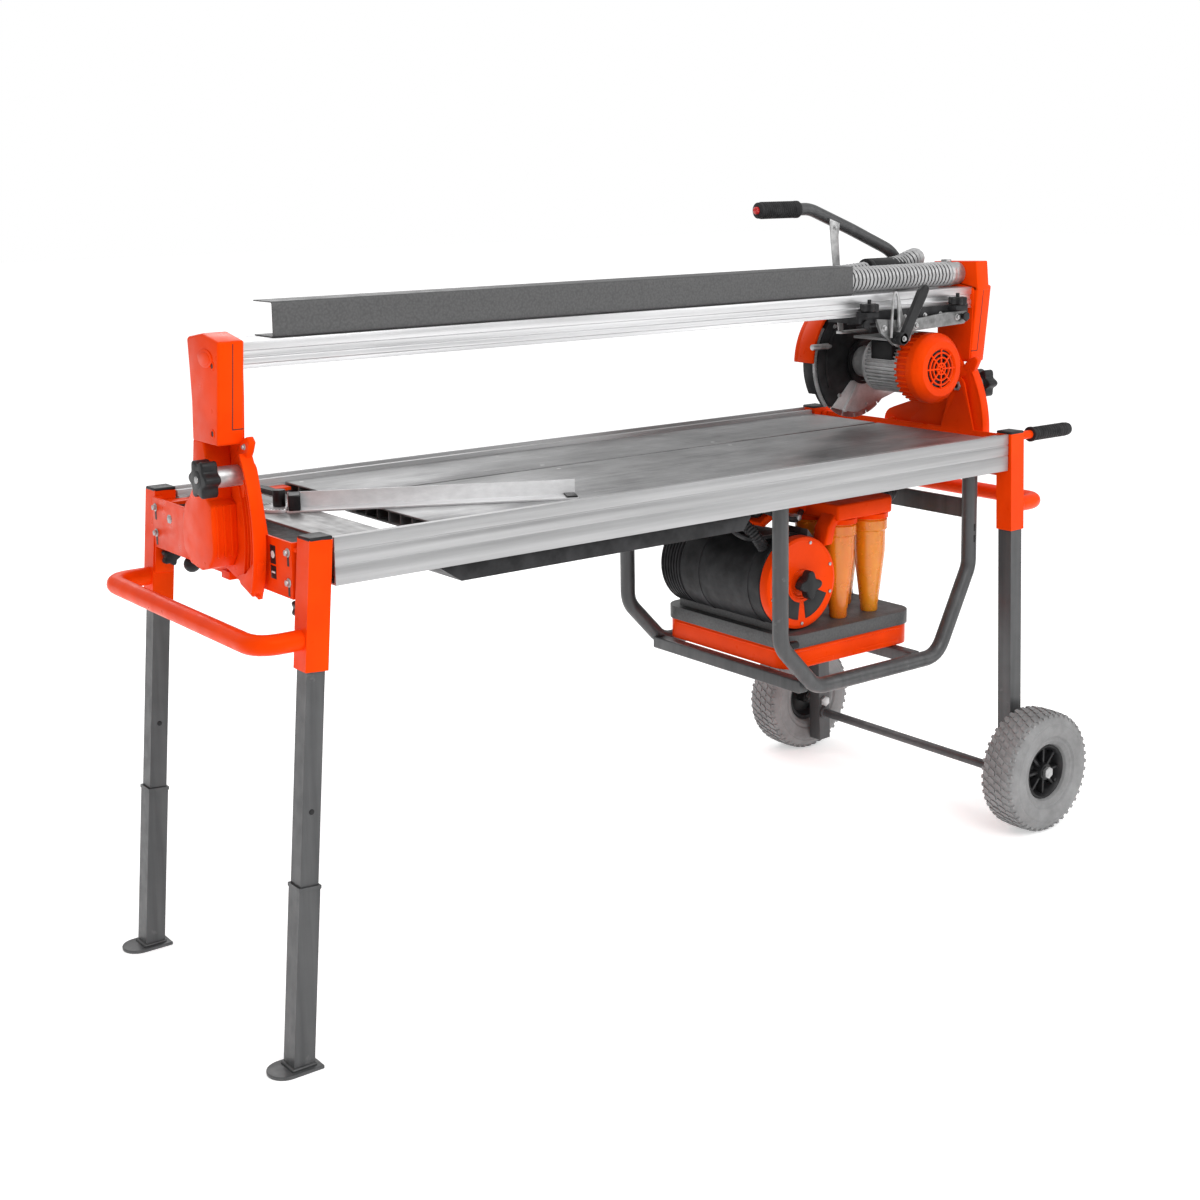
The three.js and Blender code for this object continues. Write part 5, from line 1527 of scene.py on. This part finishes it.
# Filter drum with grooves and straps, its round cover and the lobed knob
def makeFilterDrum():
    d = drumSettings
    centre, radius = d["centre"], d["radius"]
    profile = [(0, d["front"]), (radius - 4, d["front"]), (radius, d["front"] + 3), (radius, 120)]
    for i in range(d["grooves"]):
        at = 124 + i * 9
        profile += [(radius - 3, at), (radius - 3, at + 3), (radius, at + 4), (radius, at + 7.5)]
    profile += [(radius - 5, d["back"]), (0, d["back"])]
    drum = [turnedPiece("y", profile, centre, 64)]
    for at in d["straps"]:
        strap = [(96, at), (98.2, at + 1), (98.2, at + 11), (96, at + 12), (96, at)]
        drum.append(turnedPiece("y", strap, centre, 64))
    finishPiece(joinPieces(drum), "filter_drum_ribbed", "stand", "black", ("filter_drum",), 30)
    face = d["face"]
    dish = [(0, face + 2.5), (26, face + 2.5), (29, face), (84, face), (88, face - 1), (94, face + 1),
            (96, face + 6), (96, d["front"] - 0.4), (0, d["front"] - 0.4)]
    cover = turnedPiece("y", dish, centre, 64)
    screws, windows = [], []
    for angle in d["screws"]:
        spot = (centre[0] + d["screwCircle"] * math.cos(math.radians(angle)),
                centre[1] + d["screwCircle"] * math.sin(math.radians(angle)))
        screws.append(barPiece("y", face, face - 2.4, spot, 3.6, 20, 0.6))
    for start, end in d["windows"]:
        sector = arcPoints(centre, 76, start, end, 12) + arcPoints(centre, 40, end, start, 10)
        windows.append(outlinePiece("y", sector, face - 0.8, face + 2, 0.6))
    collar = outlinePiece("y", arcBand(centre, 36, 33, 170, 370, 24), face - 2, face + 1, 0.6)
    finishPiece(joinPieces([cover, collar]), "filter_cover_moulded", "stand", "orange", ("filter_cover",),
                30)
    finishPiece(joinPieces(screws), "filter_cover_screws", "stand", "steel")
    finishPiece(joinPieces(windows), "filter_cover_windows", "stand", "plastic")
    knob = [lobedKnob("y", -177.5, -157, centre, d["knob"], 4, 0.2),
            barPiece("y", -158, -149.2, centre, 17, 36, 1.5), barPiece("y", -150, -138, centre, 8, 24)]
    finishPiece(joinPieces(knob), "filter_knob_moulded", "filter_screw", "plastic", ("filter_knob",))


cycloneSettings = {"places": ((490, -118), (582, -118), (490, -40), (582, -40)), "foot": 474.3,
                   "manifoldLow": 688, "manifoldHigh": 722}


# Four cyclones under one manifold, with a collar on each, the two ducts and the plates that hold them
def makeCyclones():
    c = cycloneSettings
    foot = c["foot"]
    cone = [(0, foot), (17, foot), (18.5, 478), (18.5, 490), (20, 496), (33, 606), (33.6, 650), (37, 653),
            (37, 672), (34, 675), (34, 689), (0, 689)]
    cones = [turnedPiece("z", cone, spot, 40) for spot in c["places"]]
    finishPiece(joinPieces(cones), "cyclone_cones", "stand", "amber", ("cyclone_bank",), 30)
    box = [(448, -158), (606, -158), (622, -142), (626, -10), (448, 0)]
    duct = [(318, 688), (346, 708), (400, 718), (452, 722), (452, 696), (398, 696), (352, 690), (330, 678)]
    arch = [(420, 640), (428, 676), (446, 700), (476, 716), (500, 718), (500, 702), (470, 694), (452, 676),
            (442, 640)]
    manifold = [outlinePiece("z", box, c["manifoldLow"], c["manifoldHigh"], 5, 3),
                outlinePiece("y", duct, -66, 0, 4, 3), outlinePiece("y", arch, -150, -110, 4, 3)]
    collar = [(34, 676), (39, 677), (39, 687), (34, 688), (34, 676)]
    manifold += [turnedPiece("z", collar, spot, 40) for spot in c["places"]]
    finishPiece(joinPieces(manifold), "cyclone_manifold", "stand", "orange", (), 30)
    supports = [outlinePiece("y", [(594, 474), (656, 474), (636, 600), (626, 604)], 0, 6, 1),
                outlinePiece("y", [(392, 640), (452, 600), (452, 586), (428, 640), (396, 676)], -124, -60,
                             2),
                outlinePiece("y", [(440, 474), (470, 474), (470, 560), (452, 540)], -20, 160, 2)]
    finishPiece(joinPieces(supports), "extractor_supports", "stand", "hammered")


suctionSettings = {"centre": (268, 706), "fins": 36, "finTop": 43.8, "finRoot": 39, "port": (326, 716)}
lowerHoseSettings = {"radius": 22, "pitch": 7.5, "depth": 0.12, "bend": 60}


# Finned motor of the extractor with its shroud and mounting bracket
def makeExtractorMotor():
    s = suctionSettings
    centre = s["centre"]
    fin = ((0.0, s["finTop"]), (0.4, s["finTop"]), (0.5, s["finRoot"]), (0.9, s["finRoot"]))
    bells = (([(0, 0), (36, 0), (43, 6), (43, 14), (0, 14)], 40),
             ([(0, 148), (44, 148), (44, 160), (36, 174), (0, 176)], 40),
             ([(0, -30), (24, -30), (30, -24), (30, 2), (0, 2)], 36))
    parts = [outlinePiece("y", toothedRim(centre, s["fins"], fin), 12, 150, 0)]
    parts += [turnedPiece("y", profile, centre, steps) for profile, steps in bells]
    parts += [blockPiece((232, 310), (24, 130), (742, 772.5), 3),
              blockPiece((240, 296), (30, 120), (655, 672), 3),
              blockPiece((300, 352), (-30, 60), (690, 742), 5, 3),
              blockPiece((330, 420), (10, 120), (700, 744), 4, 3),
              turnedPiece("y", [(0, -52), (17, -52), (20, -46), (20, -28), (0, -28)], s["port"], 32),
              barPiece("x", 300, 420, (70, 688), 12, 28), barPiece("z", 660, 720, (408, 66), 10, 28)]
    finishPiece(joinPieces(parts), "extractor_motor_finned", "stand", "black", ("extractor_motor",), 30)


# Pipes between the motor and the cyclones, and the hose that leaves the duct to the right
def makeExtractorPipes():
    inlet = softRun([(268, -28, 706), (268, -60, 700), (280, -92, 672), (300, -100, 640)], 10)
    outlet = softRun([(326, -50, 716), (350, -84, 704), (392, -90, 690), (430, -70, 700)], 8)
    drain = softRun([(240, 10, 742), (216, -20, 730), (226, -60, 700), (262, -84, 668), (330, -96, 664)], 8)
    pipes = [ribbedHose(inlet, 13, 6, 0.12, 16), tubePiece(outlet, 6, 14), tubePiece(drain, 5, 12)]
    finishPiece(joinPieces(pipes), "extractor_pipes", "stand", "blackHoseAndGrooveShade")
    metal = [barPiece("y", -96, -60, (400, 694), 6, 20), hexBolt("y", -30, suctionSettings["centre"], 9, -1)]
    finishPiece(joinPieces(metal), "extractor_metal_parts", "stand", "steel")
    h = lowerHoseSettings
    route = [(627, -80, 706), (690, -80, 712), (706, 60, 740), (790, 150, 744), (836, 150, 744)]
    route = roundedRun(route, h["bend"], 12)
    finishPiece(ribbedHose(route, h["radius"], h["pitch"], h["depth"], 20), "lower_hose_ribbed", "stand",
                "blackHoseAndGrooveShade", ("lower_hose",), 50)


print("scene: saw head and fence")
makeCarriage()
makePlungeArm()
makeMotor()
makeFanCover()
makeBladeGuard()
makeGuardFittings()
makeBlade()
makeHeadHandle()
makeHeadHose()
makeFence()
makeTableClamp()
print("scene: extractor")
makeCradle()
makeTray()
makeFilterDrum()
makeCyclones()
makeExtractorMotor()
makeExtractorPipes()

print("scene: camera and studio")
makeCamera()
makeFloor()
makeLights()
makeWorld()
